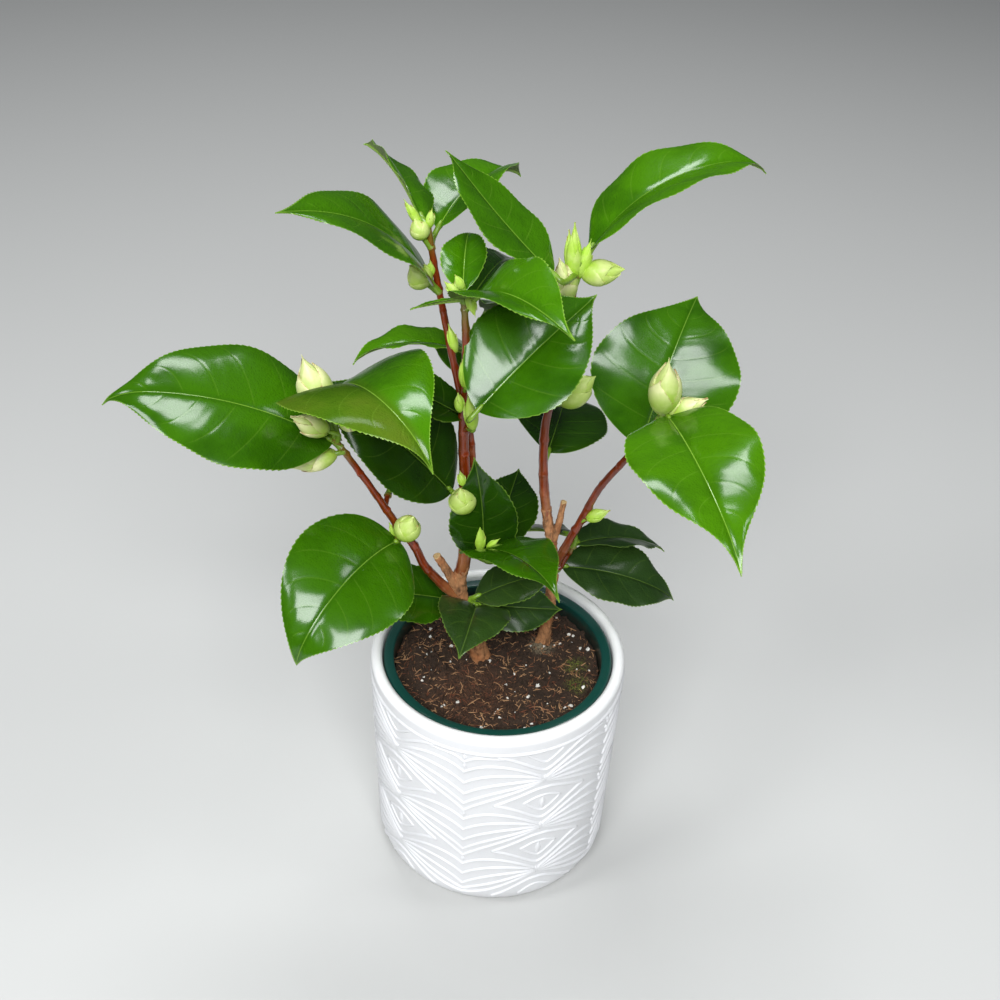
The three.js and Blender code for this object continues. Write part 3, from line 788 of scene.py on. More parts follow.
def arc(x, y, radius, start, end, steps):
    """Points of an arc in the outline's plane, from one angle to another in degrees."""
    angles = np.radians(np.linspace(start, end, steps + 1))
    return [(x + radius * np.cos(angle), y + radius * np.sin(angle)) for angle in angles]


def planter_radius(height):
    """Radius of the planter's plain outside at a height."""
    return PLANTER_FOOT + (PLANTER_RIM - PLANTER_FOOT) / PLANTER_HEIGHT * height


def planter_outline():
    """The planter's outline from the middle of its underside to the middle of its floor."""
    lip = PLANTER_WALL / 2
    ledge = PLANTER_FLOOR + FLOOR_ROUND
    return [
        (0, FOOT_HOLLOW), (20, FOOT_HOLLOW), (FOOT_RING - 1, FOOT_HOLLOW), (FOOT_RING, 0.1),
        *arc(planter_radius(FOOT_ROUND) - FOOT_ROUND, FOOT_ROUND, FOOT_ROUND, -88, 0, 16),
        *[(planter_radius(height), height) for height in np.arange(20, 128, 6)],
        *arc(planter_radius(PLANTER_HEIGHT) - lip, PLANTER_HEIGHT - lip, lip, 0, 180, 14),
        *[(planter_radius(height) - PLANTER_WALL, height) for height in np.arange(125, 18, -8)],
        *arc(planter_radius(PLANTER_FLOOR) - PLANTER_WALL - FLOOR_ROUND, ledge, FLOOR_ROUND, 0, -90, 6),
        (30, PLANTER_FLOOR), (0, PLANTER_FLOOR),
    ]


def nursery_outline():
    """The nursery pot's outline, with its rolled rim."""
    body = NURSERY_RIM - NURSERY_RIM_WIDTH
    inside = body - NURSERY_WALL
    shelf = NURSERY_TOP - NURSERY_RIM_DEPTH
    floor = NURSERY_BOTTOM + NURSERY_WALL
    return [
        (0, NURSERY_BOTTOM), (NURSERY_FOOT - 3, NURSERY_BOTTOM),
        *arc(NURSERY_FOOT - 2, NURSERY_BOTTOM + 2, 2, -90, 0, 4),
        (body - 1, shelf - 12), (body, shelf),
        *arc(NURSERY_RIM - 1, shelf + 1.6, 1, -90, 0, 4),
        (NURSERY_RIM, NURSERY_TOP - 3), (NURSERY_RIM, NURSERY_TOP - 1.6),
        *arc(NURSERY_RIM - 1.5, NURSERY_TOP - 1.5, 1.5, 0, 90, 7),
        (NURSERY_RIM - 3.2, NURSERY_TOP - 0.15),
        *arc(inside + 1.2, NURSERY_TOP - 1.5, 1.2, 90, 180, 7),
        (inside - 0.1, NURSERY_TOP - 4), (inside - 0.4, shelf), (inside - 1, shelf - 10),
        (NURSERY_FOOT - NURSERY_WALL, floor), (0, floor),
    ]


def glaze_finish(pots):
    """Satin white glaze, slightly uneven, with a painted highlight that makes the lip brighter."""
    finish = Finish("white_glaze", coat_roughness=0.22, coat_weight=0.25)
    cloud = finish.noise(28, 3)
    grain = finish.noise(900, 2)
    # Painted highlight: the top band of the lip is mixed towards the lip colour.
    lip = finish.height().within((PLANTER_HEIGHT - 5) * MM, (PLANTER_HEIGHT - 2) * MM)
    base = finish.mix(cloud.within(0.3, 0.75), pots.glaze, scaled(pots.glaze, 0.93))
    return finish.done(base.towards(pots.lip, lip), 0.36 + cloud * 0.12, grain * 0.3 + cloud, 0.00012)


def plastic_finish(pots):
    """Glossy green plastic with a little dust, darkened to a blotchy brown below a height just under its
    rim.
    """
    finish = Finish("green_plastic", coat_roughness=0.14, coat_weight=0.8)
    cloud = finish.noise(60, 3)
    dust = finish.noise(1300, 4, 0.7)
    # Below a height just under the rim the plastic is darkened to a blotchy brown.
    below_rim_darkening = finish.height().below(DARKENING_LINE[0] * MM, DARKENING_LINE[1] * MM)
    base = finish.mix(cloud, scaled(pots.plastic, 0.8), pots.plastic)
    base = base.towards(shade(96, 76, 58), dust.within(0.66, 0.74) * 0.6)
    base = base.towards(shade(34, 28, 22), below_rim_darkening * dust.within(0.3, 0.5) * 0.85)
    return finish.done(base, 0.3 + dust * 0.2, cloud + dust * 0.1, 0.0003)


# The planter's raised lines: rows of petals that fan out from points on upright mirror lines, meet in
# cusps halfway between them and leave pointed ovals round the mirror lines. The solid has its main
# lines in the same places.
PATTERN_TURN = -12.5
PETAL_ROWS = 3
LINES_PER_ROW = 7
LINES_LOW = 11
LINES_HIGH = 121
BORDER_HEIGHT = 124
ROW_HEIGHT = (LINES_HIGH - LINES_LOW) / PETAL_ROWS
LINE_GAP = ROW_HEIGHT / LINES_PER_ROW
OUTER_LINE = (LINES_PER_ROW - 1) // 2
LINE_STEP = 1.2
LINE_FADE = 2.6
LINE_SUNK = 0.06
FAN_LINES = (-3, -2, -0.6, 1, 2.6)
OVAL_LINES = ((1, 1.0), (2.2, 0.8))
FAN_CLOSING = 0.95
FAN_BEND = 1.8
BLUNT = 0.14
DROP_SIDES = 20

# A raised line's section, and a drop's rings: the distance from the middle, and the height
LINE_SECTION = (
    (-0.5, 0.0), (-0.37, 0.12), (-0.25, 0.5), (-0.1, 0.95),
    (0.1, 0.95), (0.25, 0.5), (0.37, 0.12), (0.5, 0.0),
)
DROP_SECTION = ((1.0, -0.08), (0.86, 0.25), (0.6, 0.75), (0.3, 0.95))


def fan_spread(share):
    """How far a fan has spread at a share of the way from the cusps to its point."""
    return 1 - FAN_CLOSING * share ** FAN_BEND


def swung(height, share):
    """Height of a line with its swing, which is flatter near the foot of the pattern."""
    swing = 3 * np.sin(np.pi * share) - 7 * np.exp(-4.5 * share)
    return height + swing * np.clip((height - LINES_LOW) / 14, 0, 1)


def wall_radius(height):
    """Radius of the planter's plain outside at any height, its rounded foot too."""
    below = np.clip(FOOT_ROUND - height, 0, FOOT_ROUND)
    return planter_radius(height) - FOOT_ROUND + np.sqrt(FOOT_ROUND ** 2 - below ** 2)


class Relief:
    """Raised lines gathered for one motif, which spans from mirror line to mirror line."""

    def __init__(self, pots):
        self.shape = Shape()
        self.half = np.pi / pots.motifs
        self.width = pots.line_width / MM
        self.rise = pots.line_rise / MM

    def on_wall(self, share, height, aside=0, lift=0):
        """Places on the planter; shares count from the motif's cusps, aside and lift are distances."""
        angle = share * self.half + math.radians(PATTERN_TURN) + aside / PLANTER_RIM
        radius = wall_radius(height) + lift
        return np.stack([radius * np.sin(angle), -radius * np.cos(angle), height], axis=-1)

    def line(self, share, height, closed=False, size=1.0):
        """One raised line; open ends sink away."""
        centre = self.on_wall(share, height)
        angle = share * self.half + math.radians(PATTERN_TURN)
        outward = np.stack([np.sin(angle), -np.cos(angle), np.zeros_like(angle)], axis=-1)
        if closed:
            along = unit(np.roll(centre, -1, axis=0) - np.roll(centre, 1, axis=0))
            full = np.ones(len(centre))
        else:
            along = unit(np.gradient(centre, axis=0))
            run = run_of(centre)
            full = np.clip(np.minimum(run, run[-1] - run) / LINE_FADE, 0.0, 1)
            full = np.sqrt(1 - (1 - full) ** 2)
        across = unit(np.cross(outward, along))
        rows = []
        for aside, lift in LINE_SECTION:
            wide = aside * self.width * size * (0.3 + 0.7 * full)
            out = lift * self.rise * size * full - LINE_SUNK
            rows.append(centre + across * wide[:, None] + outward * out[:, None])
        grid = np.stack(rows, axis=1)
        index = np.arange(grid.shape[0] * grid.shape[1]).reshape(grid.shape[:2])
        if closed:
            index = np.vstack([index, index[:1]])
        self.shape.add(grid, sheet_faces(index).tolist())

    def fans(self):
        """The fans of every row, and the border with one more cusp below it."""
        steps = int(2 * self.half * PLANTER_RIM / LINE_STEP / 2) * 2
        share = np.linspace(-1.03, 1.03, steps + 1)
        near = 1 - np.abs(1 - np.abs(share))
        for row in range(PETAL_ROWS):
            level = LINES_LOW + (row + 0.5) * ROW_HEIGHT
            for number in FAN_LINES:
                self.line(share, swung(level + number * LINE_GAP * fan_spread(near), near))
        self.line(share, np.full_like(share, BORDER_HEIGHT), size=1.1)
        cusp = swung(level + (OUTER_LINE + 1) * LINE_GAP * fan_spread(near), near)
        inside = (cusp < BORDER_HEIGHT - 3.0) & (np.abs(share) < 0.5)
        self.line(share[inside], cusp[inside], size=0.9)

    def oval(self, number):
        """Half a pointed oval from its tip to the mirror line: shares, and heights above its middle."""
        spread = (LINES_PER_ROW / 2 - number) / OUTER_LINE
        tip = ((1 - spread) / FAN_CLOSING) ** (1 / FAN_BEND)
        steps = int((1 - tip) * self.half * PLANTER_RIM / LINE_STEP * 1.6)
        run = tip + (1 - tip) * np.linspace(0, 1, steps + 1)
        rounded = 1 - (np.hypot(1 - run, BLUNT) - BLUNT) * (1 - tip) / (np.hypot(1 - tip, BLUNT) - BLUNT)
        return run, LINE_GAP * (LINES_PER_ROW / 2 - number - OUTER_LINE * fan_spread(rounded)) * 0.93

    def ovals(self):
        """Nested pointed ovals round the mirror line, and their halves at the top and the foot."""
        for row in range(-1, PETAL_ROWS):
            level = LINES_LOW + (row + 1) * ROW_HEIGHT
            for number, size in OVAL_LINES:
                run, half = self.oval(number)
                share = np.concatenate([run, 2 - run[-2::-1]])
                arch = np.concatenate([half, half[-2::-1]])
                near = 1 - np.abs(share - 1)
                upper = swung(level + arch, near)
                lower = swung(level - arch, near)
                if row < 0:
                    self.line(share, upper, size=size)
                elif row == PETAL_ROWS - 1:
                    self.line(share, lower, size=size)
                else:
                    whole = np.concatenate([share, share[-2:0:-1]])
                    self.line(whole, np.concatenate([upper, lower[-2:0:-1]]), closed=True, size=size)

    def drop(self, share, height, wide, tall):
        """A small raised drop, pointed at its top and foot."""
        turn = np.linspace(0, 2 * np.pi, DROP_SIDES, endpoint=False)
        cosine = np.cos(turn)
        rows = []
        for inward, lift in DROP_SECTION:
            aside = wide / 2 * inward * np.sign(cosine) * np.abs(cosine) ** 1.6
            high = height + tall / 2 * inward * np.sin(turn)
            rows.append(self.on_wall(share, high, aside, lift * self.rise))
        last = (len(rows) - 1) * DROP_SIDES
        cap = [tuple(range(last, last + DROP_SIDES))]
        self.shape.add(np.stack(rows), ring_faces(len(rows), DROP_SIDES) + cap)

    def drops(self):
        """Drops inside the ovals, between the cusps and at the points of the fans."""
        for row in range(PETAL_ROWS):
            level = LINES_LOW + (row + 0.5) * ROW_HEIGHT
            above = level + ROW_HEIGHT / 2
            self.drop(1, level, 2.8, 7.0)
            if row < PETAL_ROWS - 1:
                self.drop(1, float(swung(above, 1.0)), 3.6, 9.5)
            self.drop(0, float(swung(above, 0.0)), 2.2, 3.4)
        self.drop(0, BORDER_HEIGHT - 3.6, 2.4, 3.4)


def relief_motif(pots):
    """One motif of the planter's raised lines."""
    relief = Relief(pots)
    relief.fans()
    relief.ovals()
    relief.drops()
    return relief.shape


# Geometry Nodes


class Nodes(Tree):
    """A Geometry Nodes tree under construction, with named inputs."""

    def __init__(self, name, **inputs):
        self.tree = bpy.data.node_groups.new(name, "GeometryNodeTree")
        self.tree.interface.new_socket("Geometry", in_out="INPUT", socket_type="NodeSocketGeometry")
        for key, kind in inputs.items():
            self.tree.interface.new_socket(key, in_out="INPUT", socket_type=kind)
        self.tree.interface.new_socket("Geometry", in_out="OUTPUT", socket_type="NodeSocketGeometry")
        self.inputs = self.tree.nodes.new("NodeGroupInput").outputs
        self.output = self.tree.nodes.new("NodeGroupOutput").inputs[0]

    def finish(self, geometry, material):
        """Ends the tree in real geometry with its material."""
        real = self.node("GeometryNodeRealizeInstances", {}, {"Geometry": geometry})
        done = self.node("GeometryNodeSetMaterial", {}, {"Geometry": real, "Material": material})
        self.tree.links.new(done, self.output)
        return self

    def run(self, carrier, name, **values):
        """Runs the tree on a carrier object and returns the result as a plain piece."""
        modifier = carrier.modifiers.new(name, "NODES")
        modifier.node_group = self.tree
        for item in self.tree.interface.items_tree:
            if item.in_out == "INPUT" and item.name in values:
                modifier[item.identifier] = values[item.name]
        graph = bpy.context.evaluated_depsgraph_get()
        mesh = bpy.data.meshes.new_from_object(carrier.evaluated_get(graph))
        mesh.name = name
        carrier.modifiers.remove(modifier)
        return linked(name, mesh)


def discard(*objects):
    """Removes carriers and samples that have served."""
    for old in objects:
        bpy.data.objects.remove(old)


def round_array(material):
    """Copies a motif at even turns round the upright axis."""
    nodes = Nodes("round_array", Count="NodeSocketInt")
    copies = nodes.inputs["Count"]
    spots = nodes.node("GeometryNodeMeshLine", {}, {"Count": copies, "Offset": (0, 0, 0)})
    number = nodes.node("GeometryNodeInputIndex")
    share = nodes.node("ShaderNodeMath", {"operation": "DIVIDE"}, {0: number, 1: copies})
    turn = nodes.node("ShaderNodeMath", {"operation": "MULTIPLY"}, {0: share, 1: 2 * math.pi})
    upright = nodes.node("ShaderNodeCombineXYZ", {}, {"Z": turn})
    inputs = {"Points": spots, "Instance": nodes.inputs["Geometry"], "Rotation": upright}
    placed = nodes.node("GeometryNodeInstanceOnPoints", {}, inputs)
    return nodes.finish(placed, material)


def scatter(name, material, tilt, sizes):
    """Strews samples of a collection over a surface, each turned and sized at random."""
    nodes = Nodes(name, Samples="NodeSocketCollection", Density="NodeSocketFloat", Seed="NodeSocketInt")
    inputs = {"Mesh": nodes.inputs["Geometry"]}
    inputs.update(Density=nodes.inputs["Density"], Seed=nodes.inputs["Seed"])
    points = nodes.node("GeometryNodeDistributePointsOnFaces", {}, inputs)
    settings = {"transform_space": "ORIGINAL"}
    inputs = {"Collection": nodes.inputs["Samples"], "Separate Children": True, "Reset Children": True}
    samples = nodes.node("GeometryNodeCollectionInfo", settings, inputs)
    settings = {"data_type": "FLOAT_VECTOR"}
    lean = (tilt, tilt, math.pi)
    turn = nodes.node("FunctionNodeRandomValue", settings, {0: tuple(-t for t in lean), 1: lean})
    settings = {"data_type": "FLOAT"}
    size = nodes.node("FunctionNodeRandomValue", settings, {2: sizes[0], 3: sizes[1], "Seed": 3}, output=1)
    inputs = {"Points": points, "Instance": samples, "Pick Instance": True, "Rotation": turn, "Scale": size}
    placed = nodes.node("GeometryNodeInstanceOnPoints", {}, inputs)
    return nodes.finish(placed, material)


# Soil: its mesh, the mounds round the stems, and where it is reddish with roots, dry and mossy
SOIL_RINGS = 84
SOIL_SIDES = 220
SOIL_SIDE_HEIGHTS = (SOIL_FLOOR, 60, 112)
SOIL_DIP = 1.2
SOIL_EDGE = 44
SOIL_EDGE_WIDTH = 9
SOIL_EDGE_RISE = 1.6
MOUNDS = ((-9, 5, 2.6, 220), (24, 20, 2.0, 160))
FIBROUS_PATCH = (-12, -22, 121)
DRY_PATCH = (23, 15, 122)
MOSS_PATCHES = ((41, 2, 122), (42, -12, 121))

# Litter: how much samples may tip over, and the size of each kind of sample
ANY_WAY_UP = 3.1
NEARLY_FLAT = 0.4
CRUMB_SIZE = 1.5
CLOD_SIZE = 3.4
GRAIN_SIZE = 1.9
FIBRE_LENGTH = 3.6
FIBRE_THICKNESS = 0.3
FIBRE_CURL = 0.45


def soil_height(x, y):
    """Height of the soil's surface: clods, low mounds round both stems, and a rise at its edge."""
    clods = rolling(x, y, 11, 26, 9, 26) * 0.9 + rolling(x, y, 12, 60, 3, 8) * 0.5
    edge = SOIL_EDGE_RISE * np.clip((np.hypot(x, y) - SOIL_EDGE) / SOIL_EDGE_WIDTH, 0, 1) ** 2
    mounds = 0
    for middle_x, middle_y, rise, spread in MOUNDS:
        mounds = mounds + rise * np.exp(-((x - middle_x) ** 2 + (y - middle_y) ** 2) / spread)
    return SOIL_TOP - SOIL_DIP + clods + mounds + edge


def soil_shape(closed=True):
    """The soil, with its uneven top and, if closed, its sides and underside."""
    angle = np.linspace(0, 2 * np.pi, SOIL_SIDES, endpoint=False)
    radius = SOIL_TOP_RADIUS * (np.arange(SOIL_RINGS, 0, -1)[:, None] / SOIL_RINGS) ** 0.85
    x, y = radius * np.cos(angle), radius * np.sin(angle)
    rings = [*np.stack([x, y, soil_height(x, y)], axis=-1)]
    ends = []
    if closed:
        for number, height in enumerate(SOIL_SIDE_HEIGHTS):
            share = (height - SOIL_FLOOR) / (SOIL_TOP - SOIL_FLOOR)
            reach = SOIL_FOOT_RADIUS + (SOIL_TOP_RADIUS - SOIL_FOOT_RADIUS) * share
            level = np.full(SOIL_SIDES, float(height))
            rings.insert(number, np.stack([reach * np.cos(angle), reach * np.sin(angle), level], axis=-1))
        ends.append(tuple(range(SOIL_SIDES))[::-1])
    count_of_points = len(rings) * SOIL_SIDES
    middle = [0, 0, soil_height(np.zeros(1), np.zeros(1))[0]]
    innermost = range(count_of_points - SOIL_SIDES, count_of_points)
    faces = ring_faces(len(rings), SOIL_SIDES) + fan_faces(innermost, count_of_points)
    shape = Shape()
    shape.add(np.vstack([*rings, middle]), faces + ends)
    return shape


def soil_finish(name, peat, lightest):
    """Dark moist peat, lighter where it is dry, reddish with roots in one place and mossy in two."""
    finish = Finish(name)
    patch = finish.noise(60, 4, 0.6)
    grain = finish.noise(900, 4, 0.7)
    base = finish.mix(grain.within(0.35, 0.7), scaled(peat, 0.55), peat)
    base = base.towards(scaled(peat, lightest), patch.within(0.5, 0.8) * grain.within(0.45, 0.75))
    base = base.towards(shade(128, 74, 44), finish.near(FIBROUS_PATCH, 30) * grain.within(0.4, 0.65) * 0.35)
    base = base.towards(shade(150, 138, 112), finish.near(DRY_PATCH, 9) * grain.within(0.35, 0.6) * 0.8)
    for place in MOSS_PATCHES:
        base = base.towards(shade(112, 124, 38), finish.near(place, 9) * grain.within(0.45, 0.6) * 0.7)
    return finish.done(base, 0.98 - grain * 0.2, grain, 0.0012)


def fibre_finish(soil):
    """Dry root fibres, some of them reddish."""
    finish = Finish("peat_fibre")
    tint = finish.noise(140, 2)
    return finish.done(finish.mix(tint.within(0.35, 0.65), shade(108, 58, 34), soil.fibre), 0.7 + tint * 0.2)


def grain_finish():
    """White porous grains."""
    finish = Finish("perlite")
    pores = finish.noise(2200, 3)
    base = finish.mix(pores, shade(206, 202, 190), shade(250, 249, 244))
    return finish.done(base, 0.75 + pores * 0.2, pores, 0.0004)


def crumb(seed, size, squash, rounds):
    """An uneven lump of a few dozen faces, as a sample."""
    mesh = bpy.data.meshes.new("crumb")
    work = bmesh.new()
    bmesh.ops.create_icosphere(work, subdivisions=rounds, radius=size * MM / 2)
    push = np.random.default_rng(seed).uniform(0.6, 1.35, len(work.verts))
    for vertex, factor in zip(work.verts, push):
        vertex.co *= factor
        vertex.co.z *= squash
    work.to_mesh(mesh)
    work.free()
    return linked("crumb", mesh)


def strand(seed):
    """A short bent fibre of square section, as a sample."""
    draw = np.random.default_rng(seed)
    share = np.linspace(-0.5, 0.5, 7)
    bend = draw.uniform(-FIBRE_CURL, FIBRE_CURL, 2)
    wave = 0.03 * np.sin(6 * share + draw.uniform(0, 6))
    arch = 0.22 * (0.25 - share ** 2) * draw.uniform(0.2, 1.2)
    sideways = bend[0] * (share ** 2 - 0.25) + wave
    centre = np.stack([share, sideways, arch], axis=-1) * FIBRE_LENGTH + (0, 0, FIBRE_THICKNESS * 0.3)
    radius = FIBRE_THICKNESS / 2 * np.sqrt(np.clip(1 - (2 * np.abs(share)) ** 4, 0.05, 1))
    tangent = unit(np.gradient(centre, axis=0))
    across = carried(tangent, (0, 0, 1.0))
    ring = around(across, np.cross(tangent, across), np.linspace(0, 2 * np.pi, 4, endpoint=False))
    shape = Shape()
    shape.add_tube(centre[:, None] + ring * radius[:, None, None])
    return shape.to_object("strand", [])


def strewn(bed, name, material, density, tilt, sizes, samples, seed):
    """Strews samples over a bed as one piece, and removes them."""
    group = bpy.data.collections.new(name + "_samples")
    for sample in samples:
        bpy.context.scene.collection.objects.unlink(sample)
        group.objects.link(sample)
    tree = scatter(name + "_scatter", material, tilt, sizes)
    made = tree.run(bed, name, Samples=group, Density=float(density), Seed=seed)
    discard(*samples)
    bpy.data.collections.remove(group)
    return made


# Wood

KNOTS = 5
NODE_GAP = (9, 21)
LEAF_TURN = 2.4
OLD_SIDES = 40
OLD_STEP = 0.55
YOUNG_SIDES = 22
YOUNG_STEP = 0.7
CUT_SIDES = 28

# Rings of a cut face: their share of the stub's radius, and how far they lie beyond its end
CUT_RINGS = ((1.02, -0.5), (1.0, 0.15), (0.86, 0.32), (0.6, 0.22), (0.3, 0.3), (0.06, 0.12))


def limb_grid(route, radius, sides, step, start=0.0, end=1.0):
    """Rings along a limb. The radius is a function of the run, the share and the angle."""
    curve = through(route)
    total = run_of(curve)[-1]
    rows = max(4, int((end - start) * total / step) + 1)
    run = np.linspace(start * total, end * total, rows)
    centre = at_run(curve, run)
    tangent = unit(np.gradient(centre, axis=0))
    across = carried(tangent)
    angle = np.linspace(0, 2 * np.pi, sides, endpoint=False)
    size = radius(run[:, None], (run / total)[:, None], angle[None, :])
    ring = around(across, np.cross(tangent, across), angle)
    return centre[:, None] + ring * size[..., None], run / total


def limb_radius(member, share, run):
    """Plain radius of a limb, widened at its foot."""
    foot, tip = member["thickness"]
    return (foot + (tip - foot) * share + member["flare"] * np.exp(-run / 9)) / 2


def add_old_limb(shape, member, end, seed, depth, lead=0.0):
    """Old wood with flaking bark, ridges that run along it and a few knots."""
    draw = np.random.default_rng(seed)
    knots = draw.uniform(8, 60, KNOTS)
    spots = draw.uniform(0, 2 * np.pi, KNOTS)

    def radius(run, share, angle):
        ridge = round_waves(run, angle, seed, 16, 7, 14, 50)
        flake = np.tanh(2.5 * round_waves(run, angle, seed + 1, 18, 6, 3.5, 11))
        grain = round_waves(run, angle, seed + 2, 24, 16, 2, 9)
        relief = depth * (0.5 * ridge + 0.42 * flake + 0.22 * grain)
        for knot, spot in zip(knots, spots):
            near = np.exp(-((run - knot) / 2.4) ** 2 - (1 - np.cos(angle - spot)) * 3)
            relief = relief + 0.9 * depth * near
        return limb_radius(member, share, run) + relief

    route = list(member["route"])
    if lead:
        first, second = np.array(route[0], float), np.array(route[1], float)
        route = [tuple(first - unit(second - first) * lead), *route]
    grid, share = limb_grid(route, radius, OLD_SIDES, OLD_STEP, 0.0, end)
    shape.add_tube(grid, age=share[:, None])


def add_cut_end(shape, member, seed):
    """A pale cut face that closes an old stub, with rings in its wood."""
    curve = through(member["route"])
    tangent = unit(curve[-1] - curve[-3])
    across = carried(np.array([tangent]))[0]
    angle = np.linspace(0, 2 * np.pi, CUT_SIDES, endpoint=False)
    ring = around(across, np.cross(tangent, across), angle)
    wobble = 1 + 0.06 * np.cos(3 * angle + seed)
    radius = member["thickness"][1] / 2
    rings = [
        curve[-1] + tangent * lift + ring * (radius * factor * wobble)[:, None] for factor, lift in CUT_RINGS
    ]
    shape.add_tube(np.stack(rings), 1, age=1.0)


def add_young_limb(shape, member, seed, start=0.0, age=(0.0, 1.0)):
    """Young wood: smooth, with a raised ring and a small scar at each node."""
    draw = np.random.default_rng(seed)
    total = run_of(through(member["route"]))[-1]
    nodes = np.cumsum(draw.uniform(*NODE_GAP, 30))
    nodes = nodes[(nodes > start * total + 3) & (nodes < total - 2)]
    spots = draw.uniform(0, 2 * np.pi) + np.arange(len(nodes)) * LEAF_TURN

    def radius(run, share, angle):
        relief = 0.07 * round_waves(run, angle, seed, 12, 3, 7, 30)
        relief = relief + 0.04 * round_waves(run, angle, seed + 3, 14, 9, 5, 20)
        for node, spot in zip(nodes, spots):
            ring = np.exp(-((run - node) / 0.8) ** 2) * 0.14
            scar = np.exp(-((run - node - 0.6) / 1.3) ** 2 - (1 - np.cos(angle - spot)) * 4) * 0.55
            relief = relief + ring + scar
        close = np.clip((total - run) / 1.2, 0, 1)
        return (limb_radius(member, share, run) + relief) * np.sqrt(np.clip(1 - (1 - close) ** 2, 0.04, 1))

    grid, share = limb_grid(member["route"], radius, YOUNG_SIDES, YOUNG_STEP, start)
    ages = age[0] + (age[1] - age[0]) * (share - share[0]) / max(share[-1] - share[0], 1e-6)
    shape.add_tube(grid, age=ages[:, None])


def bark_finish(wood):
    """Tan bark that flakes in strips, darker in its cracks."""
    finish = Finish("old_bark")
    strips = finish.noise(420, 4, 0.6, (1, 1, 0.28))
    grain = finish.noise(1800, 3, 0.6, (1, 1, 0.35))
    patch = finish.noise(90, 3, 0.5)
    base = finish.mix(strips.within(0.34, 0.58), scaled(wood.old, 0.34), wood.old)
    base = base.towards(scaled(wood.old, 1.5), grain.within(0.5, 0.75) * 0.7)
    base = base.towards(scaled(wood.old, 0.85, 0.62, 0.45), patch.within(0.45, 0.7) * 0.7)
    return finish.done(base, 0.72 + grain * 0.25, strips * 0.7 + grain * 0.4, 0.0006)


def cut_finish(wood):
    """Pale weathered wood where a limb was cut."""
    finish = Finish("cut_wood")
    grain = finish.noise(1600, 3, 0.6)
    base = finish.mix(grain.within(0.35, 0.7), scaled(wood.cut, 0.6), wood.cut)
    return finish.done(base, 0.8 + grain * 0.1, grain, 0.0003)


def young_bark_finish(wood):
    """Glossy red-brown bark, tan at its foot and greener towards the tip."""
    finish = Finish("young_bark", coat_roughness=0.16, coat_weight=1.0, specular_ior_level=0.1)
    age = finish.value("age")
    streak = finish.noise(520, 3, 0.55, (1, 1, 0.16))
    patch = finish.noise(120, 3, 0.5)
    base = finish.mix(streak.within(0.35, 0.7), scaled(wood.young, 0.62), wood.young)
    # Pale streaks along the bough: partly the bark's own striations, partly a painted highlight.
    base = base.towards(scaled(wood.young, 2.3), streak.within(0.62, 0.8) * 0.55)
    base = base.towards(shade(150, 96, 58), age.below(0.02, 0.3) * patch.within(0.3, 0.65))
    base = base.towards(shade(112, 112, 36), age.within(0.86, 1.0) * 0.75)
    return finish.done(base, 0.34 + streak * 0.2, streak, 0.00008)


# Leaves

LEAF_STEPS = 20
HOOK_STEPS = 3
VEIN_LEAN = (0.15, 0.10)
VEIN_WINDOW = 3.3
VEIN_PAIRS = ((75, 7), (48, 6), (30, 5), (0, 3))
OLIVE_EDGE = 8
LEAST_HALF = 0.45

# How far a blade swells between its veins, for each tone: old leaves are more quilted
QUILT = (0.03, 0.04, 0.1, 0.1)

# The blade's other relief, and the shortest and longest waves in it
FULL_LEAF = 60
RIB_DEPTH = 0.42
RIB_WIDTH = 1.1
GROOVE_DEPTH = 0.07
GROOVE_WIDTH = 0.5
BLISTER_HEIGHT = 0.06
BLISTER_WAVES = (5, 13)
FLOW_HEIGHT = 0.3
FLOW_WAVES = (30, 80)
RUFFLE_HEIGHT = 0.9
KEEL_DEPTH = 0.9
KEEL_WIDTH = 0.95

# Columns across half a blade: distances in millimetres from the midrib and the margin, and shares
# of what is left between them
NEAR_RIB = (0.45, 1.1)
ACROSS = (0.1, 0.22, 0.35, 0.48, 0.61, 0.74, 0.87, 1.0)
NEAR_RIM = (0.7, 0.0)
RIM_BAND = 1.6
NARROW = 5.0

# Rows near the foot of a blade, as shares of a row, and how far each row of a tooth stands out
FOOT_ROWS = (0, 0.12, 0.45)
TOOTH_RISE = (0.0, 0.55, 1.0)
TOOTH_LEVEL = 0.45
TOOTH_LEAN = 0.35


def leaf_outline(share, point):
    """Half width of a leaf, as a part of its greatest, at a share of its length."""
    return share ** 0.72 * (1 - share) * (1 - point * share ** 5) / 0.302


def leaf_frames(item):
    """The midrib's places and directions, turned a little at each of twenty steps."""
    along = direction(item["heading"], item["rise"])
    turn = math.radians(item["heading"])
    side = np.array([-math.sin(turn), math.cos(turn), 0.0])
    side = rotated(side, along, item["roll"])
    up = np.cross(along, side)
    centre = np.array(item["base"], float)
    rows = [(centre, side, up)]
    for step in range(LEAF_STEPS):
        share = (step + 0.5) / LEAF_STEPS
        curl = 32 * item["curl"] * max(share - 0.75, 0) / LEAF_STEPS
        down = item["bend"] / LEAF_STEPS + curl
        along, up = rotated(along, side, down), rotated(up, side, down)
        hook = item["hook"] / HOOK_STEPS if step >= LEAF_STEPS - HOOK_STEPS else 0
        sweep = item["sweep"] / LEAF_STEPS + hook
        along, side = rotated(along, up, sweep), rotated(side, up, sweep)
        twist = item["twist"] / LEAF_STEPS
        side, up = rotated(side, along, twist), rotated(up, along, twist)
        centre = centre + along * item["length"] / LEAF_STEPS
        rows.append((centre, side, up))
    return [np.array(column) for column in zip(*rows)]


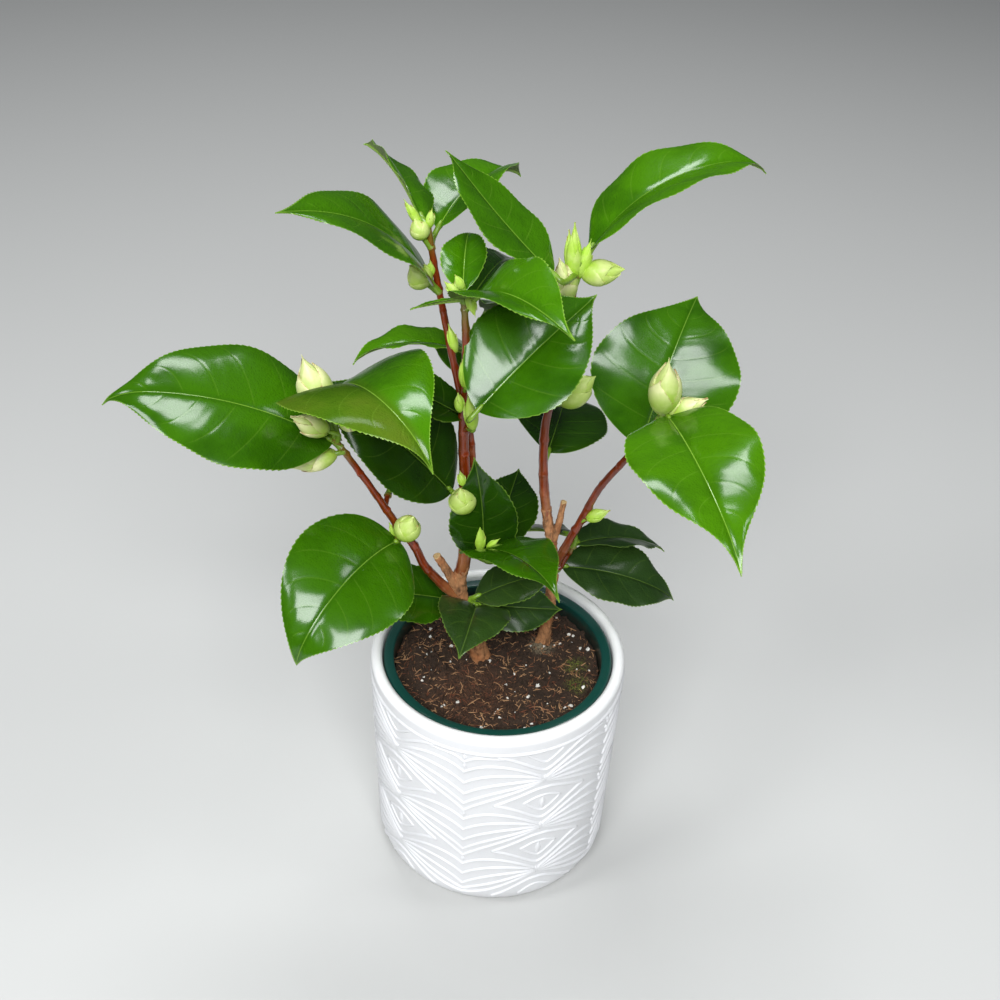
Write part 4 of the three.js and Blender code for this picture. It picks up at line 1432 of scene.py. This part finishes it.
def rotated(vector, axis, degrees):
    """A vector turned about an axis of length one."""
    angle = math.radians(degrees)
    cosine, sine = math.cos(angle), math.sin(angle)
    return vector * cosine + np.cross(axis, vector) * sine + axis * (axis @ vector) * (1 - cosine)


def smoothly(rows, share):
    """Values between evenly spaced rows, on a smooth curve through them."""
    ends = np.vstack([2 * rows[0] - rows[1], rows, 2 * rows[-1] - rows[-2]])
    place = np.clip(share, 0, 1) * (len(rows) - 1)
    at = np.minimum(place.astype(int), len(rows) - 2)
    part = (place - at)[..., None]
    a, b, c, d = (ends[at + number] for number in range(4))
    curve = 2 * b + (c - a) * part + (2 * a - 5 * b + 4 * c - d) * part ** 2
    return 0.5 * (curve + (3 * b - a - 3 * c + d) * part ** 3)


def half_columns(half):
    """Distances from the midrib of the columns across half a blade, for each row."""
    squeeze = np.clip(half / NARROW, 0.02, 1)
    inner = NEAR_RIB[-1] * squeeze
    outer = half - RIM_BAND * squeeze
    near = [near * squeeze for near in NEAR_RIB]
    middle = [inner + (outer - inner) * share for share in ACROSS]
    rim = [half - far * squeeze for far in NEAR_RIM]
    return np.stack([*near, *middle, *rim], axis=-1)


def ridge_of(distance, width):
    """One on a line, fading to nothing beside it."""
    return np.exp(-(distance / width) ** 2)


def blade_heights(item, share, cross, across, half, vein, gap, seed, draw):
    """How far a blade stands off its plane: fold, drooping margins, midrib, veins and gentle waves."""
    size = item["length"]
    part = np.abs(cross)
    room = np.clip(half / 8, 0, 1)
    grown = min(1, size / FULL_LEAF)
    droop = math.radians(item["droop"]) / 4 * room
    lifted = (1.2 * part - 0.2 * part ** 2) * math.sin(math.radians(item["fold"])) - droop * part ** 4
    wide = np.clip(half / (0.2 * item["width"]), 0, 1)
    body = np.clip(np.abs(across) / 2.5, 0, 1) * (1 - part ** 4) * wide
    swell = QUILT[item["tone"]] * item["quilt"] * grown
    quilt = swell * (0.5 - 0.5 * np.cos(np.pi * np.clip(vein / gap * 2, 0, 1)))
    blister = rolling(share * size, across, seed + 7, 22, *BLISTER_WAVES) * BLISTER_HEIGHT
    groove = -GROOVE_DEPTH * ridge_of(vein, GROOVE_WIDTH)
    rib = -RIB_DEPTH * ridge_of(across, RIB_WIDTH) * np.clip(half / 3, 0, 1)
    flow = rolling(share * size, across, seed, 10, *FLOW_WAVES) * FLOW_HEIGHT
    flow = flow * np.clip(np.abs(across) / 6, 0, 1)
    ruffle = np.sin(2 * np.pi * (share * draw.uniform(2.2, 3.4)) + draw.uniform(0, 6) + np.sign(cross) * 1.1)
    ruffle = ruffle * RUFFLE_HEIGHT * part ** 4 * room * grown
    return half * lifted + (quilt + blister + groove) * body + rib + flow + ruffle, body


def cut_teeth(top, number, rows, depth):
    """Forward teeth along both margins: each rises over three rows and drops at the next."""
    fade = np.clip((rows - 0.07) / 0.06, 0, 1) * np.clip((0.975 - rows) / 0.03, 0, 1)
    push = (depth * (np.array(TOOTH_RISE)[number % len(TOOTH_RISE)] - TOOTH_LEVEL) * fade)[:, None]
    for edge, inside in ((0, 1), (-1, -2)):
        line = top[:, edge]
        forward = unit(np.gradient(line, axis=0))
        outward = line - top[:, inside]
        outward = unit(outward - forward * (outward * forward).sum(-1, keepdims=True))
        top[:, edge] = line + (outward + forward * TOOTH_LEAN) * push


def add_blade(shape, item, leaves, seed):
    """One leaf blade with toothed margins, sunken midrib and veins, and a ribbed underside."""
    draw = np.random.default_rng(seed)
    size = item["length"]
    pairs = next(pairs for least, pairs in VEIN_PAIRS if size > least)
    tooth_pair = 2 * len(TOOTH_RISE)
    per_vein = tooth_pair * max(1, round(size / pairs / (leaves.row / MM * tooth_pair)))
    count_of_rows = pairs * per_vein
    number = np.concatenate([np.zeros(len(FOOT_ROWS), int), np.arange(1, count_of_rows + 1)])
    rows = np.concatenate([FOOT_ROWS, number[len(FOOT_ROWS):]]) / count_of_rows

    # Rows lean forward with the side veins, and columns keep their share of the width
    half_row = np.maximum(item["width"] / 2 * leaf_outline(rows, item["point"]), LEAST_HALF)
    right = half_columns(half_row)
    columns = np.concatenate([-right[:, ::-1], np.zeros((len(rows), 1)), right], axis=1)
    cross = columns / half_row[:, None]
    lean = VEIN_LEAN[0] * np.abs(cross) + VEIN_LEAN[1] * np.abs(cross) ** 3
    share = rows[:, None] + lean * VEIN_WINDOW * (rows * (1 - rows))[:, None]
    tip = 1 - item["drip"] * ridge_of(1 - share, item["neck"])
    half = np.maximum(item["width"] / 2 * leaf_outline(share, item["point"]) * tip, LEAST_HALF * 0.4)
    across = cross * half

    # Veins lie on whole rows, and those on the right start half a gap further on
    gap = size / pairs
    shift = np.where(columns >= 0, 0.5, 0)
    vein = np.abs((number[:, None] / per_vein + shift) % 1 - 0.5) * gap
    height, body = blade_heights(item, share, cross, across, half, vein, gap, seed, draw)

    centre, side, up = (smoothly(column, share) for column in leaf_frames(item))
    up = unit(up)
    flat = (across * math.cos(math.radians(item["fold"])))[..., None]
    top = centre + unit(side) * flat + up * height[..., None]
    cut_teeth(top, number, rows, leaves.tooth_depth / MM)

    # The underside is thinner towards the margin and carries the midrib as a ridge
    taper = 1 - 0.75 * share
    thick = leaves.thickness / MM * (1 - 0.7 * np.abs(cross) ** 3)
    along_rib = ridge_of(across, KEEL_WIDTH) * taper
    ridge = (0.25 + 0.75 * along_rib) * np.clip(half / 2, 0.3, 1)
    keel = KEEL_DEPTH * along_rib + 0.1 * ridge_of(vein, 0.6) * body
    normal = unit(np.cross(np.gradient(top, axis=0), np.gradient(top, axis=1)))
    normal = np.where((normal * up).sum(-1, keepdims=True) < 0, -normal, normal)
    under = top - normal * (thick * np.clip(ridge + 0.5, 0, 1) + keel)[..., None]
    shape.add_slab(
        top, under, item["tone"], UNDERSIDE, rib=np.abs(across), rim=np.maximum(half - np.abs(across), 0),
        vein=vein, reach=share, tone=draw.uniform(0, 1),
        olive=item["olive"] * np.clip(0.5 - across / OLIVE_EDGE, 0, 1),
    )


def leaf_finish(name, blade, leaves, margin, rib_part, blur):
    """Glossy blade: pale midrib, a pale margin that is partly a painted highlight, faint veins and fine
    grain, with a dull half on some.
    """
    finish = Finish(name, coat_roughness=blur, coat_ior=1.5, specular_ior_level=0.0)
    rib, rim, vein, reach = (finish.value(key) for key in ("rib", "rim", "vein", "reach"))
    tone, olive = finish.value("tone"), finish.value("olive")
    cloud = finish.noise(34, 3, 0.55)
    cells = finish.cells(780)
    pebble = finish.noise(420, 3, 0.6)
    dark = scaled(blade, 0.42, 0.52, 0.6)
    base = finish.mix(cloud.within(0.28, 0.58), dark, blade)
    base = base.towards(dark, rib.below(0.4, 3.0) * 0.35)
    base = base.towards(scaled(blade, 1.45, 1.22, 0.9), tone * 0.4)
    base = base.towards(leaves.olive, olive * (0.3 + cloud.within(0.3, 0.6) * 0.5))
    inside = rib.within(0.5, 3.0) * rim.within(0.5, 6.0)
    base = base.towards(leaves.vein, vein.below(0.05, 0.5) * inside * 0.07)
    base = base.towards(leaves.vein, rib.below(0.08, 0.36) * (0.62 - reach * 0.34) * rib_part)
    # The pale margin is partly the leaf's own colour and partly a painted highlight on its rounded edge.
    base = base.towards(leaves.vein, rim.below(0.18, 0.55) * margin)
    finish.set("Coat Weight", 0.85 - olive * 0.65)
    rough = 0.3 + cloud * 0.12 + vein.below(0.1, 0.9) * 0.06
    return finish.done(base, rough, cells.within(0.0, 0.5) * 0.25 + pebble * 0.75, 0.0007)


def under_finish(leaves):
    """Matte olive underside with raised paler veins."""
    finish = Finish("leaf_underside")
    rib, vein = finish.value("rib"), finish.value("vein")
    cloud = finish.noise(60, 3, 0.5)
    cells = finish.cells(700)
    base = finish.mix(cloud.within(0.3, 0.7), scaled(leaves.under, 0.75), leaves.under)
    base = base.towards(leaves.vein, vein.below(0.1, 0.8) * 0.35)
    base = base.towards(leaves.vein, rib.below(0.5, 1.3) * 0.8)
    return finish.done(base, 0.55 + cloud * 0.15, cells.within(0.0, 0.4), 0.00025)


# Stalks and buds

STALK_SIDES = 14
STALK_STEP = 0.5
STALK_BEND = 5
STALK_SUNK = 4
LONG_STALK = 7
THICKEST_BUD_STALK = 2.6
STALK_TAPER = 0.8
CORE_ROWS = 15
CORE_SIDES = 20
SCALE_ROWS = 13
SCALE_COLUMNS = 11

# The inner leaf's stalk, whose foot is on the front stem
INNER_STALK = [(-20.4, 0, 270), (-19.5, 1.5, 273), (-19, 2, 275), (-21, 2.5, 276.5)]
INNER_STALK_THICKNESS = 2.0

# Each kind of bud: how many scales it has, how pointed they are, how far they reach round it, how far
# their tips stand off, how cream it is and how far it is drawn out into a spire
BUD_KINDS = {
    "flower": {"scales": 5, "point": 2.4, "round": 1.7, "off": 0.12, "cream": 0.3, "spire": 0.3},
    "open": {"scales": 6, "point": 1.7, "round": 1.35, "off": 0.8, "cream": 1.0, "spire": 0.9},
    "tall": {"scales": 5, "point": 1.3, "round": 1.5, "off": 0.3, "cream": 0.9, "spire": 1.1},
    "shoot": {"scales": 4, "point": 1.0, "round": 1.3, "off": 0.35, "cream": 0.15, "spire": 0.9},
}


def stalk_route(item, twig, start_share):
    """Points of a stalk from the nearest place on its twig into the foot of a leaf or bud."""
    along = direction(item["heading"], item["rise"])
    base = np.array(item["base"], float)
    curve = through(twig["route"])
    spots = at_run(curve, np.linspace(start_share, 1, 80) * run_of(curve)[-1])
    arrival = base - along * STALK_BEND
    start = spots[np.argmin(np.linalg.norm(spots - arrival, axis=1))]
    sunk = base + along * min(STALK_SUNK, item["length"] * 0.12)
    if np.linalg.norm(start - base) > LONG_STALK:
        return [start, arrival, base, sunk]
    return [start, base, sunk]


def add_stalk(shape, route, foot, tip, seed):
    """A fleshy stalk, swollen where it leaves the wood."""

    def radius(run, share, angle):
        swell = 0.45 * np.exp(-run / 2.2)
        uneven = 0.04 * round_waves(run, angle, seed, 8, 3, 3, 9)
        close = np.sqrt(np.clip(1 - np.clip((share - 0.8) / 0.2, 0, 1) ** 2, 0.04, 1))
        return ((foot + (tip - foot) * share) / 2 + swell + uneven) * close

    grid, share = limb_grid(route, radius, STALK_SIDES, STALK_STEP)
    shape.add_tube(grid, reach=share[:, None])


def bud_radius(item, share):
    """Radius of a bud at a share of its length: some kinds are drawn out into a spire."""
    part = np.clip(share, 0, 1)
    power = 0.8 + BUD_KINDS[item["kind"]]["spire"] * part ** 2
    return item["width"] / 2 * np.sin(np.pi * part ** 0.8) ** power


def add_bud(shape, item, seed):
    """A bud of overlapping scales round a closed core."""
    draw = np.random.default_rng(seed)
    kind = BUD_KINDS[item["kind"]]
    width = item["width"]
    cream = kind["cream"]
    finish = 1 if item["kind"] == "shoot" else 0
    along = direction(item["heading"], item["rise"])
    turn = math.radians(item["heading"])
    across = np.array([-math.sin(turn), math.cos(turn), 0.0])
    up = np.cross(along, across)

    def place(share, angle, radius):
        ring = around(across, up, angle)
        return item["base"] + along * (share * item["length"])[..., None] + ring * radius[..., None]

    share = np.linspace(0, 1, CORE_ROWS)[:, None] ** 0.9
    angle = np.linspace(0, 2 * np.pi, CORE_SIDES, endpoint=False)[None, :]
    core = np.maximum(bud_radius(item, share) * 0.93, 0.12)
    share, angle, core = np.broadcast_arrays(share, angle, core)
    shape.add_tube(place(share, angle, core), finish, reach=share * 0.8, cream=cream, rim=0.4)

    twist = draw.uniform(0, 2 * np.pi)
    number = kind["scales"]
    v = np.linspace(0, 1, SCALE_ROWS)[:, None]
    u = np.linspace(-1, 1, SCALE_COLUMNS)[None, :]
    for scale in range(number):
        order = (scale + 1) / number
        start = 0.16 * scale / number
        end = 0.42 + 0.58 * order ** 0.8
        middle = twist + scale * LEAF_TURN + draw.uniform(-0.25, 0.25)
        reach = start + (end - start) * v * (1 - 0.1 * u ** 2 * v)
        spread = kind["round"] * np.clip(1 - v ** kind["point"], 0, 1) ** 0.62 + 0.015
        spread = spread * (0.5 + 0.5 * np.clip(v * 3, 0, 1))
        lift = (number - scale) / number * 0.045 * width * (1 - 0.5 * v)
        lift = lift + kind["off"] * v ** 4 * (1 - 0.4 * order) + 0.03 * width * (1 - u ** 2) * v
        out = bud_radius(item, reach) + lift
        angle = middle + u * spread
        outer = place(reach, angle, np.maximum(out + 0.12, 0.25))
        inner = place(reach, angle, np.maximum(out - 0.28 - 0.02 * width, 0.08))
        rim = (1 - np.abs(u)) * (1 - v ** 2)
        shape.add_slab(outer, inner, finish, finish, reach=v, cream=cream, rim=rim)


def bud_finish(name, foot, buds):
    """Bud scales: green at the foot, paler at the tip, with thin brown rims."""
    finish = Finish(name, coat_roughness=0.3, coat_weight=0.15)
    reach, cream, rim = (finish.value(key) for key in ("reach", "cream", "rim"))
    streak = finish.noise(700, 3, 0.5)
    cloud = finish.noise(170, 3, 0.5)
    pale = reach.within(0.25, 1.0) * cream + cloud.within(0.45, 0.7) * 0.25
    base = finish.mix(pale, foot, buds.cream)
    base = base.towards(scaled(foot, 0.7), reach.below(0.0, 0.3) * 0.5)
    base = base.towards(buds.brown, rim.below(0.0, 0.07) * streak.within(0.4, 0.6) * cream * 0.6)
    base = base.towards(buds.brown, reach.within(0.9, 1.0) * cloud.within(0.4, 0.6) * 0.6)
    return finish.done(base, 0.42 + streak * 0.16, streak * 0.6 + cloud * 0.4, 0.00025)


def stalk_finish(leaves):
    """Fleshy yellow-green stalk, a little red where it leaves the wood."""
    finish = Finish("leaf_stalk", coat_roughness=0.25, coat_weight=0.3)
    reach = finish.value("reach")
    streak = finish.noise(420, 3, 0.5)
    base = finish.mix(streak.within(0.35, 0.7), scaled(leaves.stalk, 0.7), leaves.stalk)
    base = base.towards(shade(120, 84, 40), reach.below(0.0, 0.16) * 0.7)
    return finish.done(base, 0.36 + streak * 0.15, streak, 0.0002)


# Operators: one for each piece or group of like pieces


class CAMELLIA_OT_planter(bpy.types.Operator):
    """Make the white planter with its raised leafy lines"""

    bl_idname = "camellia.planter"
    bl_label = "Planter"

    def execute(self, context):
        pots = settings_of(context, "camellia_pots")
        glaze = glaze_finish(pots)
        shape = Shape()
        shape.add(*turned(planter_outline(), PLANTER_SIDES))
        dressed(shape.to_object("planter_body", [glaze], sharp=60), ["planter"])
        motif = relief_motif(pots).to_object("relief_motif", [glaze])
        ribs = round_array(glaze).run(motif, "planter_relief", Count=pots.motifs)
        discard(motif)
        dressed(ribs, ["planter"])
        return {"FINISHED"}


class CAMELLIA_OT_nursery_pot(bpy.types.Operator):
    """Make the green nursery pot with its rolled rim"""

    bl_idname = "camellia.nursery_pot"
    bl_label = "Nursery Pot"

    def execute(self, context):
        pots = settings_of(context, "camellia_pots")
        shape = Shape()
        shape.add(*turned(nursery_outline(), NURSERY_SIDES))
        pot = shape.to_object("nursery_pot_body", [plastic_finish(pots)], sharp=50)
        dressed(pot, ["nursery_pot"])
        return {"FINISHED"}


class CAMELLIA_OT_soil(bpy.types.Operator):
    """Make the soil with its crumbs, fibres, white grains and moss"""

    bl_idname = "camellia.soil"
    bl_label = "Soil"

    def execute(self, context):
        soil = settings_of(context, "camellia_soil")
        ground = soil_finish("peat", soil.peat, 2.4)
        dressed(soil_shape().to_object("soil_body", [ground]), ["soil"])
        bed = soil_shape(closed=False).to_object("soil_bed", [ground])
        crumbs = [crumb(number, CRUMB_SIZE, 0.75, 1) for number in range(6)]
        clods = [crumb(20 + number, CLOD_SIZE, 0.7, 2) for number in range(5)]
        strands = [strand(40 + number) for number in range(6)]
        grains = [crumb(60 + number, GRAIN_SIZE, 0.9, 2) for number in range(4)]
        crumb_peat = soil_finish("peat_crumbs", soil.peat, 3.2)
        clod_peat = soil_finish("peat_clods", soil.peat, 2.6)
        litter = (
            ("soil_crumbs", crumb_peat, soil.crumbs, ANY_WAY_UP, (0.4, 1.8), crumbs),
            ("soil_clods", clod_peat, soil.clods, ANY_WAY_UP, (0.6, 1.4), clods),
            ("soil_fibres", fibre_finish(soil), soil.fibres, NEARLY_FLAT, (0.5, 1.6), strands),
            ("soil_grains", grain_finish(), soil.grains, ANY_WAY_UP, (0.3, 1.25), grains),
        )
        for number, kind in enumerate(litter):
            dressed(strewn(bed, *kind, soil.seed + number), ["soil"])
        discard(bed)
        return {"FINISHED"}


class CAMELLIA_OT_old_wood(bpy.types.Operator):
    """Make the two old stems with their cut stubs"""

    bl_idname = "camellia.old_wood"
    bl_label = "Old Wood"

    def execute(self, context):
        wood = settings_of(context, "camellia_wood")
        depth = wood.bark_depth / MM
        finishes = [bark_finish(wood), cut_finish(wood)]
        for name, stem, fork, stub, node, seed in (
            ("front_old_wood", FRONT_STEM, FRONT_FORK, FRONT_STUB, "front_trunk", FRONT_SEED),
            ("back_old_wood", BACK_STEM, BACK_FORK, BACK_STUB, "back_trunk", BACK_SEED),
        ):
            shape = Shape()
            add_old_limb(shape, stem, fork + FORK_OVERLAP, seed, depth, lead=STEM_SUNK)
            add_old_limb(shape, stub, 1.0, seed + 5, depth * 0.5)
            add_cut_end(shape, stub, seed)
            dressed(shape.to_object(name, finishes, sharp=70), [node])
        return {"FINISHED"}


class CAMELLIA_OT_young_wood(bpy.types.Operator):
    """Make the red-brown boughs and the small side twigs"""

    bl_idname = "camellia.young_wood"
    bl_label = "Young Wood"

    def execute(self, context):
        wood = settings_of(context, "camellia_wood")
        finish = young_bark_finish(wood)
        shape = Shape()
        for seed, (member, start) in enumerate((
            (FRONT_STEM, FRONT_FORK - YOUNG_OVERLAP), (LEFT_LIMB, 0), (UPPER_LEFT_LIMB, 0),
            (BACK_STEM, BACK_FORK - YOUNG_OVERLAP), (RIGHT_LIMB, 0),
        )):
            add_young_limb(shape, member, BOUGH_SEED + seed, start)
        dressed(shape.to_object("young_wood", [finish], sharp=70), YOUNG_WOOD_NODES)
        twigs = Shape()
        for seed, spray in enumerate(SPRAYS.values()):
            if "from" not in spray:
                add_young_limb(twigs, spray["twig"], TWIG_SEED + seed, age=(0.5, 1.0))
        dressed(twigs.to_object("side_twigs", [finish], sharp=70), TWIG_NODES)
        return {"FINISHED"}


class CAMELLIA_OT_leaves(bpy.types.Operator):
    """Make all leaf blades, spray by spray, in a few pieces"""

    bl_idname = "camellia.leaves"
    bl_label = "Leaves"

    def execute(self, context):
        leaves = settings_of(context, "camellia_leaves")
        finishes = [
            leaf_finish("leaf_bright", leaves.bright, leaves, 0.45, 1, 0.17),
            leaf_finish("leaf_mid", leaves.mid, leaves, 0.35, 0.8, 0.17),
            leaf_finish("leaf_deep", leaves.deep, leaves, 0.3, 0.6, 0.19),
            # Painted sheen: the lowest leaves' colour is greyed for their soft sheen.
            leaf_finish("leaf_dull", leaves.dull, leaves, 0.3, 0.5, 0.28),
            under_finish(leaves),
        ]
        seeds = itertools.count(LEAF_SEED)
        for name, nodes in LEAF_PIECES.items():
            shape = Shape()
            items = [item for node in nodes for item in SPRAYS[node]["leaves"]]
            if name == INNER_LEAF_PIECE:
                items.append(INNER_LEAF)
            for item in items:
                add_blade(shape, item, leaves, next(seeds))
            dressed(shape.to_object(name, finishes, sharp=55), nodes)
        return {"FINISHED"}


class CAMELLIA_OT_stalks(bpy.types.Operator):
    """Make the stalks that carry the leaves and buds"""

    bl_idname = "camellia.stalks"
    bl_label = "Stalks"

    def execute(self, context):
        leaves = settings_of(context, "camellia_leaves")
        shape = Shape()
        seeds = itertools.count(STALK_SEED)
        for spray in SPRAYS.values():
            for item in (*spray["leaves"], *spray.get("buds", [])):
                thick = item.get("stalk", min(THICKEST_BUD_STALK, item["width"] / 2))
                route = stalk_route(item, spray["twig"], spray.get("from", 0))
                add_stalk(shape, route, thick, thick * STALK_TAPER, next(seeds))
        thick = INNER_STALK_THICKNESS
        add_stalk(shape, INNER_STALK, thick, thick * STALK_TAPER, next(seeds))
        dressed(shape.to_object("stalks", [stalk_finish(leaves)], sharp=70))
        return {"FINISHED"}


class CAMELLIA_OT_buds(bpy.types.Operator):
    """Make the flower buds and the slender leaf buds"""

    bl_idname = "camellia.buds"
    bl_label = "Buds"

    def execute(self, context):
        buds = settings_of(context, "camellia_buds")
        finishes = [bud_finish("flower_bud", buds.green, buds), bud_finish("leaf_bud", buds.shoot, buds)]
        every = [item for spray in SPRAYS.values() for item in spray.get("buds", [])] + SMALL_BUDS
        for name, chosen in (
            ("flower_buds", [item for item in every if item["kind"] != "shoot"]),
            ("leaf_buds", [item for item in every if item["kind"] == "shoot"]),
        ):
            shape = Shape()
            for number, item in enumerate(chosen):
                add_bud(shape, item, BUD_SEED + number)
            dressed(shape.to_object(name, finishes, sharp=60))
        return {"FINISHED"}


# Soft lights: the way to each from the middle of the plant, its distance, its width and height in
# metres, and its share of the power
LIGHT_MIDDLE = np.array([-0.01, 0.0, 0.25])
LIGHT_TINT = (0.965, 0.985, 1.0)
LIGHTS = (
    ("window_light", -92, 43, 1.6, (1.1, 0.6), 0.98),
    ("left_light", -150, 42, 1.6, (0.35, 0.5), 0.22),
    ("back_light", 104, 70, 2.0, (0.9, 0.55), 0.6),
    ("right_light", -10, 50, 1.6, (0.4, 0.4), 0.12),
)


def aimed(made, right, up, back, place):
    """Turns a light or the camera by its right, its upright and what lies behind it, and places it."""
    rows = np.array([right, up, back, place]).T
    made.matrix_world = Matrix([*rows.tolist(), (0, 0, 0, 1)])
    return made


def area_light(name, offset, size, power):
    """A soft rectangular light that faces the middle of the plant."""
    data = bpy.data.lights.new(name, "AREA")
    data.shape = "RECTANGLE"
    data.size, data.size_y = size
    data.energy = power
    data.color = LIGHT_TINT
    away = unit(offset)
    side = unit(np.cross((0.0, 0.0, 1.0), away))
    return aimed(linked(name, data), side, np.cross(away, side), away, LIGHT_MIDDLE + offset)


def photo_camera():
    """The camera, from its place, its pitch and its roll."""
    pitch = math.radians(CAMERA_PITCH)
    roll = math.radians(CAMERA_ROLL)
    ahead = np.array([0, math.cos(pitch), -math.sin(pitch)])
    level = np.array([1.0, 0, 0])
    above = np.cross(level, ahead)
    right = math.cos(roll) * level + math.sin(roll) * above
    up = -math.sin(roll) * level + math.cos(roll) * above
    data = bpy.data.cameras.new("camera")
    data.lens = CAMERA_LENS
    data.sensor_width = CAMERA_SENSOR
    data.clip_start, data.clip_end = CAMERA_RANGE
    return aimed(linked("camera", data), right, up, -ahead, np.array(CAMERA_PLACE) * MM)


class CAMELLIA_OT_stage(bpy.types.Operator):
    """Make the floor, the lights and the camera"""

    bl_idname = "camellia.stage"
    bl_label = "Stage"

    def execute(self, context):
        stage = settings_of(context, "camellia_stage")
        half = stage.floor_width / 2 / MM
        shape = Shape()
        shape.add([(-half, -half, 0), (half, -half, 0), (half, half, 0), (-half, half, 0)], [(0, 1, 2, 3)])
        finish = Finish("plain_floor", base_color=stage.floor, roughness=0.7)
        shape.to_object("floor", [finish.material])
        for name, heading, rise, away, size, share in LIGHTS:
            area_light(name, direction(heading, rise) * away, size, stage.light_power * share)
        world = bpy.data.worlds.new("studio")
        world.use_nodes = True
        sky = world.node_tree.nodes["Background"].inputs
        sky["Color"].default_value = (*stage.sky, 1)
        sky["Strength"].default_value = stage.room_light
        context.scene.world = world
        context.scene.camera = photo_camera()
        context.scene.view_settings.view_transform = "Standard"
        return {"FINISHED"}


STEPS = (
    CAMELLIA_OT_planter, CAMELLIA_OT_nursery_pot, CAMELLIA_OT_soil, CAMELLIA_OT_old_wood,
    CAMELLIA_OT_young_wood, CAMELLIA_OT_leaves, CAMELLIA_OT_stalks, CAMELLIA_OT_buds, CAMELLIA_OT_stage,
)
GROUPS = {
    "camellia_pots": CamelliaPots, "camellia_soil": CamelliaSoil, "camellia_wood": CamelliaWood,
    "camellia_leaves": CamelliaLeaves, "camellia_buds": CamelliaBuds, "camellia_stage": CamelliaStage,
}


class CAMELLIA_PT_panel(bpy.types.Panel):
    """The makers of the shrub and their settings"""

    bl_idname = "CAMELLIA_PT_panel"
    bl_label = "Camellia"
    bl_space_type = "VIEW_3D"
    bl_region_type = "UI"
    bl_category = "Camellia"

    def draw(self, context):
        for step in STEPS:
            self.layout.operator(step.bl_idname)
        for group in GROUPS:
            box = self.layout.box()
            settings = settings_of(context, group)
            for key in settings.bl_rna.properties.keys():
                if key not in ("rna_type", "name"):
                    box.prop(settings, key)


def register():
    """Registers the settings, the operators and the panel."""
    for key, group in GROUPS.items():
        bpy.utils.register_class(group)
        setattr(bpy.types.Scene, key, PointerProperty(type=group))
    for item in (*STEPS, CAMELLIA_PT_panel):
        bpy.utils.register_class(item)


def unregister():
    """Takes the panel, the operators and the settings away again."""
    for item in (CAMELLIA_PT_panel, *reversed(STEPS)):
        bpy.utils.unregister_class(item)
    for key, group in GROUPS.items():
        delattr(bpy.types.Scene, key)
        bpy.utils.unregister_class(group)


def main():
    """Makes every piece in order."""
    register()
    bpy.ops.camellia.planter()
    bpy.ops.camellia.nursery_pot()
    bpy.ops.camellia.soil()
    bpy.ops.camellia.old_wood()
    bpy.ops.camellia.young_wood()
    bpy.ops.camellia.leaves()
    bpy.ops.camellia.stalks()
    bpy.ops.camellia.buds()
    bpy.ops.camellia.stage()


if __name__ == "__main__":
    main()
